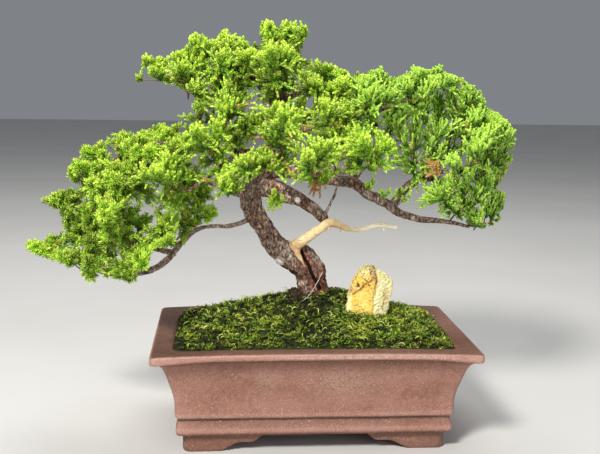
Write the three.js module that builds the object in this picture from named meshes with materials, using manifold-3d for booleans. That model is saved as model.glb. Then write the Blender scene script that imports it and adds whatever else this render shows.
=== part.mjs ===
// A juniper bonsai in an unglazed clay pot: a leaning trunk with a pale stripped dead branch,
// a wide crown of needle sprays, a moss mound and one upright stone.
// Units are millimetres, +Z is up, +Y points to the back of the pot. Places are measured from
// the point 81 mm under the middle of the pot's rim; the finished group is moved so that its
// origin is the middle of the whole tree's box, on the plane of the feet.

import * as THREE from "three";
import { mergeVertices } from "three/addons/utils/BufferGeometryUtils.js";
import Module from "manifold-3d";

const wasm = await Module();
wasm.setup();

// ---------------------------------------------------------------- driving dimensions

const POT = {
  width: 254, // across the rim, a ten-inch pot
  depth: 164,
  height: 81, // of the rim, at the middle of the long sides
  cornerDroop: 2.2, // the rim's corners lie lower than its middle
  cornerRadius: 5,
  floorTop: 21,
  rimWidth: 16.5, // flat top of the rim
  wallSlope: 11 / 62, // inner wall: inset gained per millimetre of depth
  innerCornerRadius: 13,
};

const FOOT = {
  inset: 24, // from the rim's outer edge
  thickness: 15, // of the skirt that the feet are cut from
  sole: -3.4, // height of the plane the pot stands on
  top: 11.2,
  cornerRadius: 6,
  spanLong: 75, // half the gap between two feet on the long side, at the table
  shelfLong: 39.5, // and at the top of the cloud curve
  spanShort: 35,
  shelfShort: 7,
};

const DRAIN = { radius: 7.5, spacing: 104, screen: 24, bar: 1.6, bars: 2 };

const GAP = 0.3; // between pieces that rest on each other

const MOUND = {
  edge: 79, // moss height at the pot's wall
  swell: 14, // cushion height over the edge
  rise: 15, // extra height of the mound round the trunk
  peak: new THREE.Vector2(0, 16),
  spread: new THREE.Vector2(56, 44),
  moss: 7, // thickness of the moss sheet
  tuft: 1.5, // relief of the moss cushions
};

const STEM = { radius: 1.25, needleStep: 4.7, cordStep: 5.4 };
const NEEDLE = { length: 7.4, lean: 0.85 }; // lean is the angle from the stem, in radians
const CORD = { length: 12.5, lean: 0.45 };

// Outside of the pot from its floor up: [inset from the rim's edge, height].
const POT_PROFILE = [
  [21.5, 10.6],
  [18.9, 12.4],
  [18.7, 16.6],
  [20.8, 23.4],
  [18.5, 26.0],
  [18.0, 29.0],
  [17.9, 36],
  [16.3, 46],
  [13.1, 57],
  [10.1, 66.2],
  [7.2, 71.0],
  [1.0, 74.2],
  [0, 75.4],
  [0, 79.8],
  [1.2, 81],
];

// ---------------------------------------------------------------- the tree's wood
// Each limb is a list of [x, y, z, radius], from its root inside its parent to its end.

const LIMBS = {
  trunk: [
    [5, 10, 58, 6], [5, 10, 72, 10.5], [4, 10, 88, 14], [4, 10, 99, 14.5], [3, 10, 108, 13],
    [1, 9, 118, 12], [-1, 8, 127, 12.2], [-9, 7, 136, 12.4], [-21, 6, 142.5, 10.8],
    [-30, 6, 150, 9.2], [-38, 6, 161, 8.4], [-45, 7, 174, 8.4], [-49, 8, 187, 8.6],
    [-47, 8, 198, 9.2], [-42, 7, 208, 7.6],
  ],
  leader: [
    [-42, 7, 207, 7.2], [-36, 5, 222, 6], [-31, 3, 240, 5], [-27, 2, 258, 4], [-25, 2, 276, 3.2],
    [-24, 2, 294, 2.3],
  ],
  arch: [
    [-46, 8, 198, 8], [-33, 6, 199, 8.2], [-19, 2, 193, 6.5], [-9, 1, 188, 4.8],
    [2, 1, 179, 4.7], [9, 3, 172, 4.2], [13, 5, 166, 3],
  ],
  deadTwig: [[10, 3, 173, 1.7], [14, 0, 182, 1.3], [18, -2, 191, 1.1], [20, -3, 199, 0.8]],
  lowLeft: [
    [-46, 8, 174, 3], [-55, 8, 168, 2], [-68, 4, 165, 1.8], [-85, 0, 165, 1.8], [-97, -4, 161, 2.2],
    [-106, -6, 152, 2.6], [-117, -8, 139, 2.8], [-128, -9, 132, 2.8], [-144, -8, 128, 2.6],
    [-160, -6, 127, 2.1], [-178, -3, 131, 1.7], [-196, 0, 139, 1.3],
  ],
  lowLeftFront: [[-112, -7, 145, 2.2], [-122, -24, 150, 1.8], [-138, -38, 156, 1.2]],
  midLeft: [
    [-49, 8, 190, 5], [-62, 10, 193, 3.6], [-80, 14, 200, 3.2], [-100, 16, 205, 2.8],
    [-124, 16, 206, 2.4], [-150, 12, 202, 2], [-176, 8, 196, 1.4],
  ],
  midLeftBack: [[-100, 16, 205, 2.2], [-120, 38, 206, 1.8], [-146, 52, 202, 1.2]],
  upLeft: [
    [-37, 5, 219, 4], [-58, -4, 226, 3], [-82, -12, 231, 2.5], [-108, -14, 233, 2],
    [-136, -12, 231, 1.5], [-156, -8, 228, 1.2],
  ],
  armLeft: [
    [-32, 3, 237, 3.4], [-52, 8, 252, 2.7], [-76, 12, 268, 2.2], [-98, 12, 278, 1.7],
    [-116, 10, 284, 1.3],
  ],
  topLeft: [[-27, 2, 258, 2.8], [-42, -3, 277, 2.3], [-58, -6, 294, 1.8], [-72, -8, 304, 1.3]],
  topRight: [[-26, 2, 266, 2.5], [-8, 6, 275, 2.1], [12, 8, 281, 1.3]],
  front: [[-38, 5, 216, 4], [-32, -18, 219, 2.7], [-22, -42, 218, 2.1], [-12, -62, 213, 1.4]],
  frontLeft: [
    [-58, -4, 226, 2.6], [-70, -26, 219, 2.2], [-84, -44, 210, 1.8], [-98, -54, 200, 1.3],
  ],
  frontRight: [[-8, 11, 207, 3], [10, -10, 211, 2.4], [22, -34, 213, 1.9], [30, -52, 211, 1.3]],
  back: [[-35, 5, 226, 3.6], [-28, 32, 231, 2.6], [-18, 58, 235, 2], [-8, 78, 236, 1.3]],
  backLeft: [
    [-36, 5, 222, 3.4], [-56, 32, 224, 2.4], [-82, 54, 225, 1.9], [-106, 68, 222, 1.3],
  ],
  backRight: [[-2, 12, 206, 3.2], [18, 34, 214, 2.4], [42, 52, 222, 1.9], [64, 62, 228, 1.3]],
  right: [
    [-42, 7, 208, 6], [-22, 10, 210, 5.6], [0, 12, 206, 5], [19, 12, 202, 4.6], [36, 10, 200, 4.3],
    [46, 8, 192, 4], [54, 6, 188.5, 3.9], [63, 5, 183.5, 3.7], [73, 4, 176.5, 3.3],
    [90, 2, 171.5, 2.7], [105, 2, 170, 2.3], [120, 2, 168, 1.8], [132, 3, 165, 1.3],
  ],
  rightRise: [
    [66, 5, 181, 3.4], [71, 3, 188, 3.5], [76, 0, 197, 3.3], [87, -3, 206, 3], [98, -6, 217, 2.6],
    [107, -8, 233, 2.1], [114, -8, 250, 1.5],
  ],
  rightInner: [
    [87, -3, 206, 2.4], [102, 3, 203.5, 2.3], [113, 9, 196, 2], [124, 12, 191, 1.7],
    [138, 14, 196, 1.3],
  ],
  rightFront: [[88, -3, 207, 2.2], [98, -22, 212, 1.8], [110, -34, 215, 1.2]],
  rightBack: [[98, -6, 217, 2.2], [108, 18, 226, 1.8], [122, 36, 232, 1.2]],
  rightUp: [
    [-32, 3, 236, 3.6], [-12, -6, 244, 3], [12, -12, 250, 2.6], [38, -12, 256, 2.2],
    [62, -10, 265, 1.8], [80, -8, 274, 1.3],
  ],
};

const ROOTS = { count: 4, reach: 40, top: 86, drop: 26, radius: 5 };

// The stripped dead branch, in the same form. It starts inside the trunk.
const DEAD_BRANCH = [
  [-14, -1, 149, 5.2], [-6, -6, 156, 4.4], [5, -9, 164.5, 3.6], [15.5, -10, 171.5, 3.3],
  [23, -11, 166.5, 2.9], [33, -12, 163, 2.5], [41, -12, 162, 2.3], [48, -13, 165, 2.2],
  [57, -14, 167, 2.1], [71, -15, 165.5, 1.6],
];
// The bare strip that runs on from it, down the trunk's front.
const BARE_STRIP = [
  [-12, -3.2, 150, 3.6], [-11, -5.2, 143, 3.2], [-5, -6.2, 136, 2.7], [1, -5, 129, 2.0],
  [4.5, -4, 122, 1.3],
];

// ---------------------------------------------------------------- the foliage
// Each spray is [limb, place along the limb in list steps, [tip, ...]]. The first tip ends the
// spray's stem, and a second one ends a fork of it.

const SPRAYS = {
  left: [
    ["lowLeft", 11, [[-211, -2, 140]]],
    ["lowLeft", 10.4, [[-196, 14, 162]]],
    ["lowLeft", 9.8, [[-186, -18, 128], [-176, -30, 140]]],
    ["lowLeft", 8.4, [[-160, -6, 127], [-142, -18, 128]]],
    ["lowLeft", 9, [[-176, -26, 160]]],
    ["lowLeft", 8, [[-150, 24, 154], [-166, 30, 170]]],
    ["lowLeftFront", 1.6, [[-160, -54, 168], [-134, -50, 142]]],
    ["lowLeft", 5, [[-118, -30, 152], [-80, -24, 180]]],
    ["midLeft", 6, [[-193, 4, 182]]],
    ["midLeft", 5.4, [[-184, -8, 199], [-168, -32, 186]]],
    ["midLeft", 4.3, [[-146, -34, 196], [-140, -42, 210]]],
    ["midLeft", 3.1, [[-104, -30, 188]]],
    ["midLeftBack", 1.8, [[-174, 60, 200], [-140, 66, 214]]],
    ["upLeft", 4.6, [[-170, -4, 213], [-150, 6, 222]]],
    ["upLeft", 3.5, [[-128, -26, 226], [-108, -42, 219]]],
  ],
  top: [
    ["armLeft", 4, [[-124, 6, 281]]],
    ["armLeft", 2.8, [[-104, -12, 272], [-100, 28, 264]]],
    ["armLeft", 1.6, [[-78, -18, 282], [-70, 26, 276]]],
    ["topLeft", 3, [[-88, -8, 294]]],
    ["topLeft", 2.6, [[-66, 4, 299], [-54, -20, 287]]],
    ["leader", 5, [[-34, 2, 308]]],
    ["leader", 4.7, [[-16, 6, 309]]],
    ["leader", 3.8, [[-34, -34, 286]]],
    ["leader", 3.5, [[-38, 46, 286], [-62, 40, 276]]],
    ["topRight", 2, [[32, 10, 273]]],
    ["topRight", 1.4, [[10, -28, 268]]],
    ["upLeft", 1.4, [[-76, -24, 252], [-62, -30, 236]]],
    ["front", 3, [[-6, -84, 216], [8, -68, 200]]],
    ["front", 1.8, [[-36, -60, 244], [-46, -60, 207]]],
    ["frontLeft", 3, [[-114, -64, 202]]],
    ["frontLeft", 1.6, [[-80, -58, 230], [-66, -62, 197]]],
    ["frontRight", 3, [[36, -76, 222]]],
    ["frontRight", 1.5, [[10, -54, 246]]],
    ["back", 2.4, [[2, 94, 244], [-26, 74, 262]]],
    ["backLeft", 2.4, [[-124, 80, 228], [-84, 76, 248]]],
  ],
  right: [
    ["backRight", 3, [[86, 76, 246], [64, 82, 236]]],
    ["backRight", 1.8, [[40, 66, 254]]],
    ["rightUp", 5, [[94, -6, 273]]],
    ["rightUp", 4.4, [[78, -40, 264]]],
    ["rightUp", 3.6, [[56, -10, 270], [44, 20, 262]]],
    ["rightUp", 2.8, [[38, -50, 256]]],
    ["rightRise", 6, [[116, -4, 261]]],
    ["rightRise", 5.5, [[135, 8, 244]]],
    ["rightRise", 4.6, [[142, -26, 233]]],
    ["rightRise", 2.8, [[74, -30, 232], [98, -28, 226]]],
    ["rightFront", 2, [[124, -54, 222], [104, -60, 206]]],
    ["rightBack", 2, [[142, 52, 240]]],
    ["rightBack", 1, [[100, 50, 252]]],
    ["rightInner", 4, [[162, 8, 220]]],
    ["rightInner", 3.6, [[152, 20, 198]]],
    ["right", 10.6, [[128, -22, 188], [104, -12, 184]]],
    ["right", 11.8, [[150, 0, 168], [132, -10, 160]]],
  ],
};

// Side twigs: [line that it grows from, share of that line's length], for sprays with and
// without a fork.
const TWIG = {
  length: 30,
  tilt: 0.95,
  tries: 10,
  single: [[0, 0.4], [0, 0.62], [0, 0.85]],
  forked: [[0, 0.6], [0, 0.85], [1, 0.65]],
};
const LEAF_RADIUS = 0.5;
const CLEAR = 0.4; // least space between the foliage of two sprays
const BEND = 0.16; // sag of a spray's stem, as a share of its length

// ---------------------------------------------------------------- tools for shapes

const UP = new THREE.Vector3(0, 0, 1);

// A seeded row of numbers from 0 to 1.
function seeded(seed) {
  let state = seed;
  return () => {
    state = (state + 0x6d2b79f5) | 0;
    let t = Math.imul(state ^ (state >>> 15), 1 | state);
    t = (t + Math.imul(t ^ (t >>> 7), 61 | t)) ^ t;
    return ((t ^ (t >>> 14)) >>> 0) / 4294967296;
  };
}

function indexed(points, faces) {
  const geometry = new THREE.BufferGeometry().setFromPoints(points);
  geometry.setIndex(faces);
  return geometry;
}

// A closed body from rings of equally many points, each turning left about the way ahead.
function loft(rings) {
  const n = rings[0].length;
  const last = (rings.length - 1) * n;
  const faces = [];
  for (let k = 0; k < rings.length - 1; k += 1) {
    for (let j = 0; j < n; j += 1) {
      const a = k * n + j;
      const b = k * n + ((j + 1) % n);
      faces.push(a, b, b + n, a, b + n, a + n);
    }
  }
  for (let j = 1; j < n - 1; j += 1) {
    faces.push(0, j + 1, j, last, last + j, last + j + 1);
  }
  return indexed(rings.flat(), faces);
}

// Unit vectors across a path at each of its points, carried along it without twist.
function framesAlong(points) {
  const frames = [];
  const chord = points.at(-1).clone().sub(points[0]);
  const size = [Math.abs(chord.x), Math.abs(chord.y), Math.abs(chord.z)];
  const axis = size.indexOf(Math.min(...size));
  let across = new THREE.Vector3().setComponent(axis, 1);
  points.forEach((point, i) => {
    const before = points[Math.max(i - 1, 0)];
    const after = points[Math.min(i + 1, points.length - 1)];
    const ahead = after.clone().sub(before).normalize();
    across = across.clone().addScaledVector(ahead, -across.dot(ahead)).normalize();
    frames.push({ ahead, across, beside: ahead.clone().cross(across) });
  });
  return frames;
}

function ringPoint(centre, frame, radius, angle) {
  return centre
    .clone()
    .addScaledVector(frame.across, radius * Math.cos(angle))
    .addScaledVector(frame.beside, radius * Math.sin(angle));
}

// A tapered tube through [x, y, z, radius] points, `extra` thicker all over, with shallow lobes.
function tube(limb, sides, extra = 0, lobes = 0) {
  const points = limb.map(([x, y, z]) => new THREE.Vector3(x, y, z));
  const frames = framesAlong(points);
  points[0].addScaledVector(frames[0].ahead, -extra);
  points.at(-1).addScaledVector(frames.at(-1).ahead, extra);
  const rings = points.map((centre, i) =>
    Array.from({ length: sides }, (_, j) => {
      const angle = (2 * Math.PI * j) / sides;
      const wave = 1 + lobes * Math.sin(3 * angle + 0.7 * i);
      return ringPoint(centre, frames[i], limb[i][3] * wave + extra, angle);
    }),
  );
  return loft(rings);
}

// A rectangle with round corners, the same number of points whatever its size.
function outline(halfX, halfY, radius, z) {
  const CORNER_STEPS = 2;
  const SIDE_STEPS = [2, 4]; // short side, long side
  const corners = [[1, 1], [-1, 1], [-1, -1], [1, -1]];
  const arcs = corners.map(([sx, sy], q) =>
    Array.from({ length: CORNER_STEPS + 1 }, (_, i) => {
      const angle = (Math.PI / 2) * (q + i / CORNER_STEPS);
      return new THREE.Vector3(
        sx * (halfX - radius) + radius * Math.cos(angle),
        sy * (halfY - radius) + radius * Math.sin(angle),
        z,
      );
    }),
  );
  return arcs.flatMap((arc, q) => {
    const start = arc.at(-1);
    const end = arcs[(q + 1) % 4][0];
    const steps = SIDE_STEPS[(q + 1) % 2];
    const between = Array.from({ length: steps - 1 }, (_, i) =>
      start.clone().lerp(end, (i + 1) / steps),
    );
    return [...arc, ...between];
  });
}

// ---------------------------------------------------------------- joining and cutting

function solid(geometry) {
  const bare = geometry.clone();
  bare.deleteAttribute("normal");
  bare.deleteAttribute("uv");
  const merged = mergeVertices(bare);
  return new wasm.Manifold(
    new wasm.Mesh({
      numProp: 3,
      vertProperties: new Float32Array(merged.attributes.position.array),
      triVerts: new Uint32Array(merged.index.array),
    }),
  );
}

const joined = (solids) => solids.reduce((all, next) => all.add(next));

// The largest body of a solid: loose scraps are dropped and sealed hollows are filled.
function mainBody(body) {
  return body.decompose().reduce((a, b) => (a.volume() > b.volume() ? a : b));
}

function geometryOf(body) {
  const mesh = body.getMesh();
  const geometry = new THREE.BufferGeometry();
  geometry.setAttribute("position", new THREE.BufferAttribute(mesh.vertProperties, 3));
  geometry.setIndex(new THREE.BufferAttribute(mesh.triVerts, 1));
  return geometry;
}

// ---------------------------------------------------------------- pot and what it holds

const wallInset = (z) => POT.rimWidth + (POT.height - z) * POT.wallSlope;

function inside(z, clearance) {
  const inset = wallInset(z) + clearance;
  return outline(POT.width / 2 - inset, POT.depth / 2 - inset, POT.innerCornerRadius, z);
}

function droop(point) {
  const reach = Math.abs(point.x) / (POT.width / 2);
  const lift = THREE.MathUtils.smoothstep(point.z, POT.height - 35, POT.height);
  point.z -= POT.cornerDroop * lift * reach ** 3;
  return point;
}

// The gap between two feet seen from the side: flat feet with a two-step cloud curve.
function footGap(span, shelf) {
  const right = [
    [span, -1], [span, 0], [span - 3, 0.8], [span - 7.5, 2.4], [span - 12, 4.5],
    [span - 16.5, 6.3], [shelf + 10, 6.9], [shelf + 5, 9], [shelf, FOOT.top + 0.4 - FOOT.sole],
  ];
  const left = right.map(([x, rise]) => [-x, rise]).reverse();
  const point = ([x, rise]) => new THREE.Vector2(x, FOOT.sole + rise);
  return new THREE.Shape([...right, ...left].map(point));
}

function buildPot() {
  const rings = POT_PROFILE.map(([inset, z]) => {
    const halfX = POT.width / 2 - inset;
    const halfY = POT.depth / 2 - inset;
    return outline(halfX, halfY, POT.cornerRadius, z).map(droop);
  });
  const body = solid(loft(rings));
  const hollow = solid(loft([inside(POT.floorTop, 0), inside(POT.height + 1, 0)]));

  const footHalf = [POT.width / 2 - FOOT.inset, POT.depth / 2 - FOOT.inset];
  const skirtRing = (inset, z) =>
    outline(footHalf[0] - inset, footHalf[1] - inset, FOOT.cornerRadius, z);
  const skirt = solid(
    loft([skirtRing(1.4, FOOT.sole), skirtRing(0, FOOT.sole + 1.6), skirtRing(0, FOOT.top)]),
  );
  const well = solid(
    new THREE.BoxGeometry(
      2 * (footHalf[0] - FOOT.thickness),
      2 * (footHalf[1] - FOOT.thickness),
      2 * POT_PROFILE[0][1],
    ),
  );
  const cut = (span, shelf, turn) => {
    const through = new THREE.ExtrudeGeometry(footGap(span, shelf), {
      depth: 2 * POT.width,
      bevelEnabled: false,
    });
    through.translate(0, 0, -POT.width).rotateX(Math.PI / 2).rotateZ(turn);
    return solid(through);
  };
  const floorSlab = solid(
    new THREE.BoxGeometry(2 * footHalf[0], 2 * footHalf[1], 2).translate(
      0, 0, POT_PROFILE[0][1] + 1,
    ),
  );
  const feet = skirt
    .subtract(well)
    .subtract(cut(FOOT.spanLong, FOOT.shelfLong, 0))
    .subtract(cut(FOOT.spanShort, FOOT.shelfShort, Math.PI / 2))
    .subtract(floorSlab);

  const drains = [-1, 1].map((side) => {
    const drain = new THREE.CylinderGeometry(DRAIN.radius, DRAIN.radius, POT.height, 12);
    drain.rotateX(Math.PI / 2).translate((side * DRAIN.spacing) / 2, 0, 0);
    return solid(drain);
  });
  return geometryOf(mainBody(body.add(feet).subtract(hollow).subtract(joined(drains))));
}

// A square of plastic mesh that keeps the soil from falling through a drainage hole.
function buildScreen(side) {
  const pitch = DRAIN.screen / DRAIN.bars;
  const places = Array.from({ length: DRAIN.bars + 1 }, (_, i) => i * pitch - DRAIN.screen / 2);
  const long = DRAIN.screen + DRAIN.bar;
  const bars = places.flatMap((place) => [
    new THREE.BoxGeometry(long, DRAIN.bar, DRAIN.bar).translate(0, place, 0),
    new THREE.BoxGeometry(DRAIN.bar, long, DRAIN.bar).translate(place, 0, DRAIN.bar / 4),
  ]);
  const height = POT.floorTop + GAP + DRAIN.bar / 2;
  const middle = (side * DRAIN.spacing) / 2;
  return geometryOf(joined(bars.map(solid)).translate(middle, 0, height));
}

// Height of the moss cushion, without its tufts.
function mossTop(x, y) {
  const u = Math.abs(x) / (POT.width / 2 - POT.rimWidth);
  const v = Math.abs(y) / (POT.depth / 2 - POT.rimWidth);
  const cushion = Math.max(0, 1 - u ** 8) * Math.max(0, 1 - v ** 3);
  const dx = (x - MOUND.peak.x) / MOUND.spread.x;
  const dy = (y - MOUND.peak.y) / MOUND.spread.y;
  return MOUND.edge + MOUND.swell * cushion + MOUND.rise * Math.exp(-dx * dx - dy * dy);
}

const tufts = (x, y) =>
  MOUND.tuft * (Math.sin(x * 0.31 + y * 0.12) + Math.sin(y * 0.37 - x * 0.09 + 2)) * 0.5;

// Rings that shrink towards the middle, following a height over the pot.
function coverRings(edge, steps, height) {
  return Array.from({ length: steps }, (_, i) => {
    const share = 1 - i / steps;
    return edge.map(({ x, y }) => {
      const [px, py] = [x * share, y * share];
      return new THREE.Vector3(px, py, height(px, py));
    });
  });
}

// The rings of the soil's top surface, where the moss lies on it with a gap.
function bedTop(gap) {
  const under = (x, y) => mossTop(x, y) - MOUND.moss - gap;
  return coverRings(inside(MOUND.edge - MOUND.moss, GAP), 3, under);
}

function bed(gap) {
  const bottom = POT.floorTop + GAP + DRAIN.bar * 1.25 + GAP;
  return solid(loft([inside(bottom, GAP), ...bedTop(gap)]));
}

const buildSoil = (hole) => geometryOf(mainBody(bed(GAP).subtract(hole)));

function buildMoss(hole) {
  const over = (x, y) => {
    const height = mossTop(x, y);
    return height + tufts(x, y) * Math.min(1, (height - MOUND.edge) / 4);
  };
  const rings = [bedTop(0)[0], ...coverRings(inside(MOUND.edge, GAP), 6, over)];
  return geometryOf(mainBody(solid(loft(rings)).subtract(bed(0)).subtract(hole)));
}

// An upright, blocky stone: [height, half width, half depth, shift right, shift back].
const STONE_LEVELS = [
  [86, 15, 9, 45, -8], [94, 17.5, 11.5, 44.5, -9], [103, 17, 11.5, 44.5, -9],
  [112, 17.5, 11, 46, -9], [122, 17, 10, 48, -8], [130, 13.5, 8.5, 48.5, -7],
  [134.5, 9.5, 6.5, 46.5, -7], [136, 5, 3.5, 44, -7],
];

function stoneRings(extra) {
  const SIDES = 11;
  const random = seeded(17);
  return STONE_LEVELS.map(([z, halfX, halfY, x, y]) =>
    Array.from({ length: SIDES }, (_, j) => {
      const angle = (2 * Math.PI * (j + 0.3 * random())) / SIDES;
      const square = 1 / Math.max(Math.abs(Math.cos(angle)), Math.abs(Math.sin(angle))) ** 0.45;
      const size = square * (0.9 + 0.14 * random());
      return new THREE.Vector3(
        x + (halfX * size + extra) * Math.cos(angle),
        y + (halfY * size + extra) * Math.sin(angle),
        z - extra + 1.5 * random(),
      );
    }),
  );
}

// ---------------------------------------------------------------- wood

const THICK = ["trunk", "leader", "arch", "right", "rightRise", "midLeft"];

function rootLimbs() {
  return Array.from({ length: ROOTS.count }, (_, i) => {
    const angle = (2 * Math.PI * (i + 0.4)) / ROOTS.count;
    const [trunkX, trunkY] = LIMBS.trunk[2];
    const step = (share, radius) => [
      trunkX + ROOTS.reach * share * Math.cos(angle) * 1.5,
      trunkY + ROOTS.reach * share * Math.sin(angle),
      ROOTS.top - ROOTS.drop * share,
      radius,
    ];
    return [step(0.05, ROOTS.radius), step(0.45, ROOTS.radius * 0.7), step(1, ROOTS.radius * 0.25)];
  });
}

function woodSolid(extra) {
  const limbs = Object.entries(LIMBS).map(([name, limb]) => {
    if (name === "trunk") return solid(tube(limb, 8, extra, 0.07));
    return solid(tube(limb, THICK.includes(name) ? 5 : 4, extra));
  });
  const roots = rootLimbs().map((root) => solid(tube(root, 4, extra)));
  return joined([...limbs, ...roots]);
}

// ---------------------------------------------------------------- foliage

// A point on a limb, `place` steps along its list.
function onLimb(limb, place) {
  const i = Math.min(Math.floor(place), limb.length - 2);
  const share = place - i;
  const mix = limb[i].map((value, k) => value + (limb[i + 1][k] - value) * share);
  return { point: new THREE.Vector3(...mix.slice(0, 3)), radius: mix[3] };
}

// Least distance between the pieces a-b and c-d of two straight lines.
function distance(a, b, c, d) {
  const u = b.clone().sub(a);
  const v = d.clone().sub(c);
  const w = a.clone().sub(c);
  const [uu, uv, vv] = [u.dot(u), u.dot(v), v.dot(v)];
  const [uw, vw] = [u.dot(w), v.dot(w)];
  const det = uu * vv - uv * uv;
  const clamp = (value) => Math.min(1, Math.max(0, value));
  let s = det > 1e-9 ? clamp((uv * vw - vv * uw) / det) : 0;
  const t = clamp((uv * s + vw) / vv);
  s = clamp((uv * t - uw) / uu);
  return w.addScaledVector(u, s).addScaledVector(v, -t).length();
}

// Everything that foliage has to keep clear of: straight pieces, each with a radius, the spray
// that it belongs to and its line in that spray.
const taken = [];

function take(points, radius, spray, line) {
  for (let i = 0; i < points.length - 1; i += 1) {
    taken.push({ a: points[i], b: points[i + 1], radius: radius(i), spray, line });
  }
}

// Free space round a path, up to a limit, leaving out what `skip` picks.
function room(points, limit, skip) {
  let free = limit;
  for (let i = 0; i < points.length - 1; i += 1) {
    const own = points[i].distanceTo(points[i + 1]);
    for (const other of taken) {
      if (skip(other)) continue;
      const near = other.a.distanceTo(points[i]) - other.a.distanceTo(other.b) - own;
      if (near > free + other.radius) continue;
      const gap = distance(points[i], points[i + 1], other.a, other.b) - other.radius;
      free = Math.min(free, gap);
    }
  }
  return free;
}

function arcPoints(from, to, middle, steps) {
  return new THREE.QuadraticBezierCurve3(from, middle, to).getPoints(steps);
}

// A stem from one point to another, bent the way that leaves it most room.
function bentStem(from, to, spray) {
  const STEPS = 8;
  const TURNS = [0, 1, -1, 2, -2, 3, -3, 4];
  const chord = to.clone().sub(from);
  const side = chord.clone().normalize();
  const rise = UP.clone().addScaledVector(side, -side.z).normalize();
  const enough = 2 * STEM.radius + CLEAR + 1;
  let best = null;
  for (const turn of TURNS) {
    const sag = rise.clone().applyAxisAngle(side, (turn * Math.PI) / 4);
    const middle = from.clone().addScaledVector(chord, 0.5);
    middle.addScaledVector(sag, chord.length() * BEND);
    const points = arcPoints(from, to, middle, STEPS);
    const free = room(points.slice(2), enough, (other) => other.spray === spray);
    if (!best || free > best.free + 1e-6) best = { points, free };
    if (best.free >= enough) break;
  }
  return best.points;
}

// A side twig that grows from a stem into the widest free space that it can reach.
function sideTwig(stem, share, lift, spray, random) {
  const STEPS = 6;
  const i = Math.round(share * (stem.length - 1));
  const root = stem[i];
  const ahead = stem[Math.min(i + 1, stem.length - 1)].clone().sub(stem[i - 1]).normalize();
  const across = new THREE.Vector3(ahead.y, -ahead.x, 0).normalize();
  const start = random() * Math.PI * 2;
  const length = TWIG.length * (1.1 - 0.3 * share);
  let best = null;
  for (let k = 0; k < TWIG.tries; k += 1) {
    const turn = start + (2 * Math.PI * k) / TWIG.tries;
    const aside = across.clone().applyAxisAngle(ahead, turn);
    const way = ahead.clone().multiplyScalar(Math.cos(TWIG.tilt));
    way.addScaledVector(aside, Math.sin(TWIG.tilt)).addScaledVector(UP, lift).normalize();
    const end = root.clone().addScaledVector(way, length * 0.75);
    end.addScaledVector(ahead, length * 0.25);
    const middle = root.clone().addScaledVector(way, length * 0.5);
    const points = arcPoints(root, end, middle, STEPS);
    const free = room(points.slice(1), 14, (other) => other.spray === spray);
    const apart = room(points.slice(4), 14, () => false);
    const score = Math.min(free, 4) * 10 + apart + 4 * way.z;
    if (!best || score > best.score) best = { points, score, free };
  }
  return best.free > 2 * STEM.radius ? best.points : null;
}

// The leafless lines of one spray: its stem, its fork if it has one, and their side twigs.
// `from` is the line that another one grows from, and `bare` its share without leaves.
function sprayLines([limbName, place, tips], lift, spray, random) {
  const { point } = onLimb(LIMBS[limbName], place);
  const ends = tips.map((tip) => new THREE.Vector3(...tip));
  const lines = [];
  const add = (points, from, bare) => {
    take(points, () => STEM.radius, spray, lines.length);
    lines.push({ points, from, bare });
  };
  add(bentStem(point, ends[0], spray), null, 0.4);
  if (ends[1]) add(bentStem(lines[0].points[3], ends[1], spray), 0, 0.3);
  const places = ends[1] ? TWIG.forked : TWIG.single;
  for (const [from, share] of places) {
    const twig = sideTwig(lines[from].points, share, lift, spray, random);
    if (twig) add(twig, from, 0.25);
  }
  return lines;
}

const SIDES = 3; // of a stem

// Rings of one line, each turned half a side past the last one, and the faces between them.
function stemRings(line, firstShare, step, startRing, startAngle, corners) {
  const curve = new THREE.CatmullRomCurve3(line.points, false, "centripetal");
  const leafy = 1 - Math.max(line.bare, firstShare);
  const whorls = Math.max(2, Math.round((curve.getLength() * leafy) / step));
  const shares = [firstShare];
  if (line.bare > firstShare + 0.1) shares.push(line.bare);
  const leafFrom = shares.length - 1;
  for (let i = 1; i <= whorls; i += 1) shares.push(1 - leafy + leafy * 0.95 * (i / whorls));
  const centres = shares.map((share) => curve.getPointAt(share));
  const frames = framesAlong(centres);
  const first = startRing ? startAngle(frames[0]) : 0;
  const rings = centres.map((centre, k) =>
    Array.from({ length: SIDES }, (_, j) => {
      const angle = first + ((2 * j + k) * Math.PI) / SIDES;
      const point = ringPoint(centre, frames[k], STEM.radius * (1 - 0.3 * shares[k]), angle);
      return corners.push(point) - 1;
    }),
  );
  const faces = [];
  for (let k = 0; k < rings.length - 1; k += 1) {
    for (let j = 0; j < SIDES; j += 1) {
      const next = (j + 1) % SIDES;
      const { ahead } = frames[k];
      const leaf = k >= leafFrom;
      faces.push({ face: [rings[k][j], rings[k][next], rings[k + 1][j]], ahead, leaf });
      faces.push({ face: [rings[k][next], rings[k + 1][next], rings[k + 1][j]], ahead });
    }
  }
  const tip = corners.push(curve.getPointAt(1)) - 1;
  const top = rings.at(-1);
  top.forEach((corner, j) => faces.push({ face: [corner, top[(j + 1) % SIDES], tip] }));
  return { faces, ring: rings[0] };
}

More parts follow.
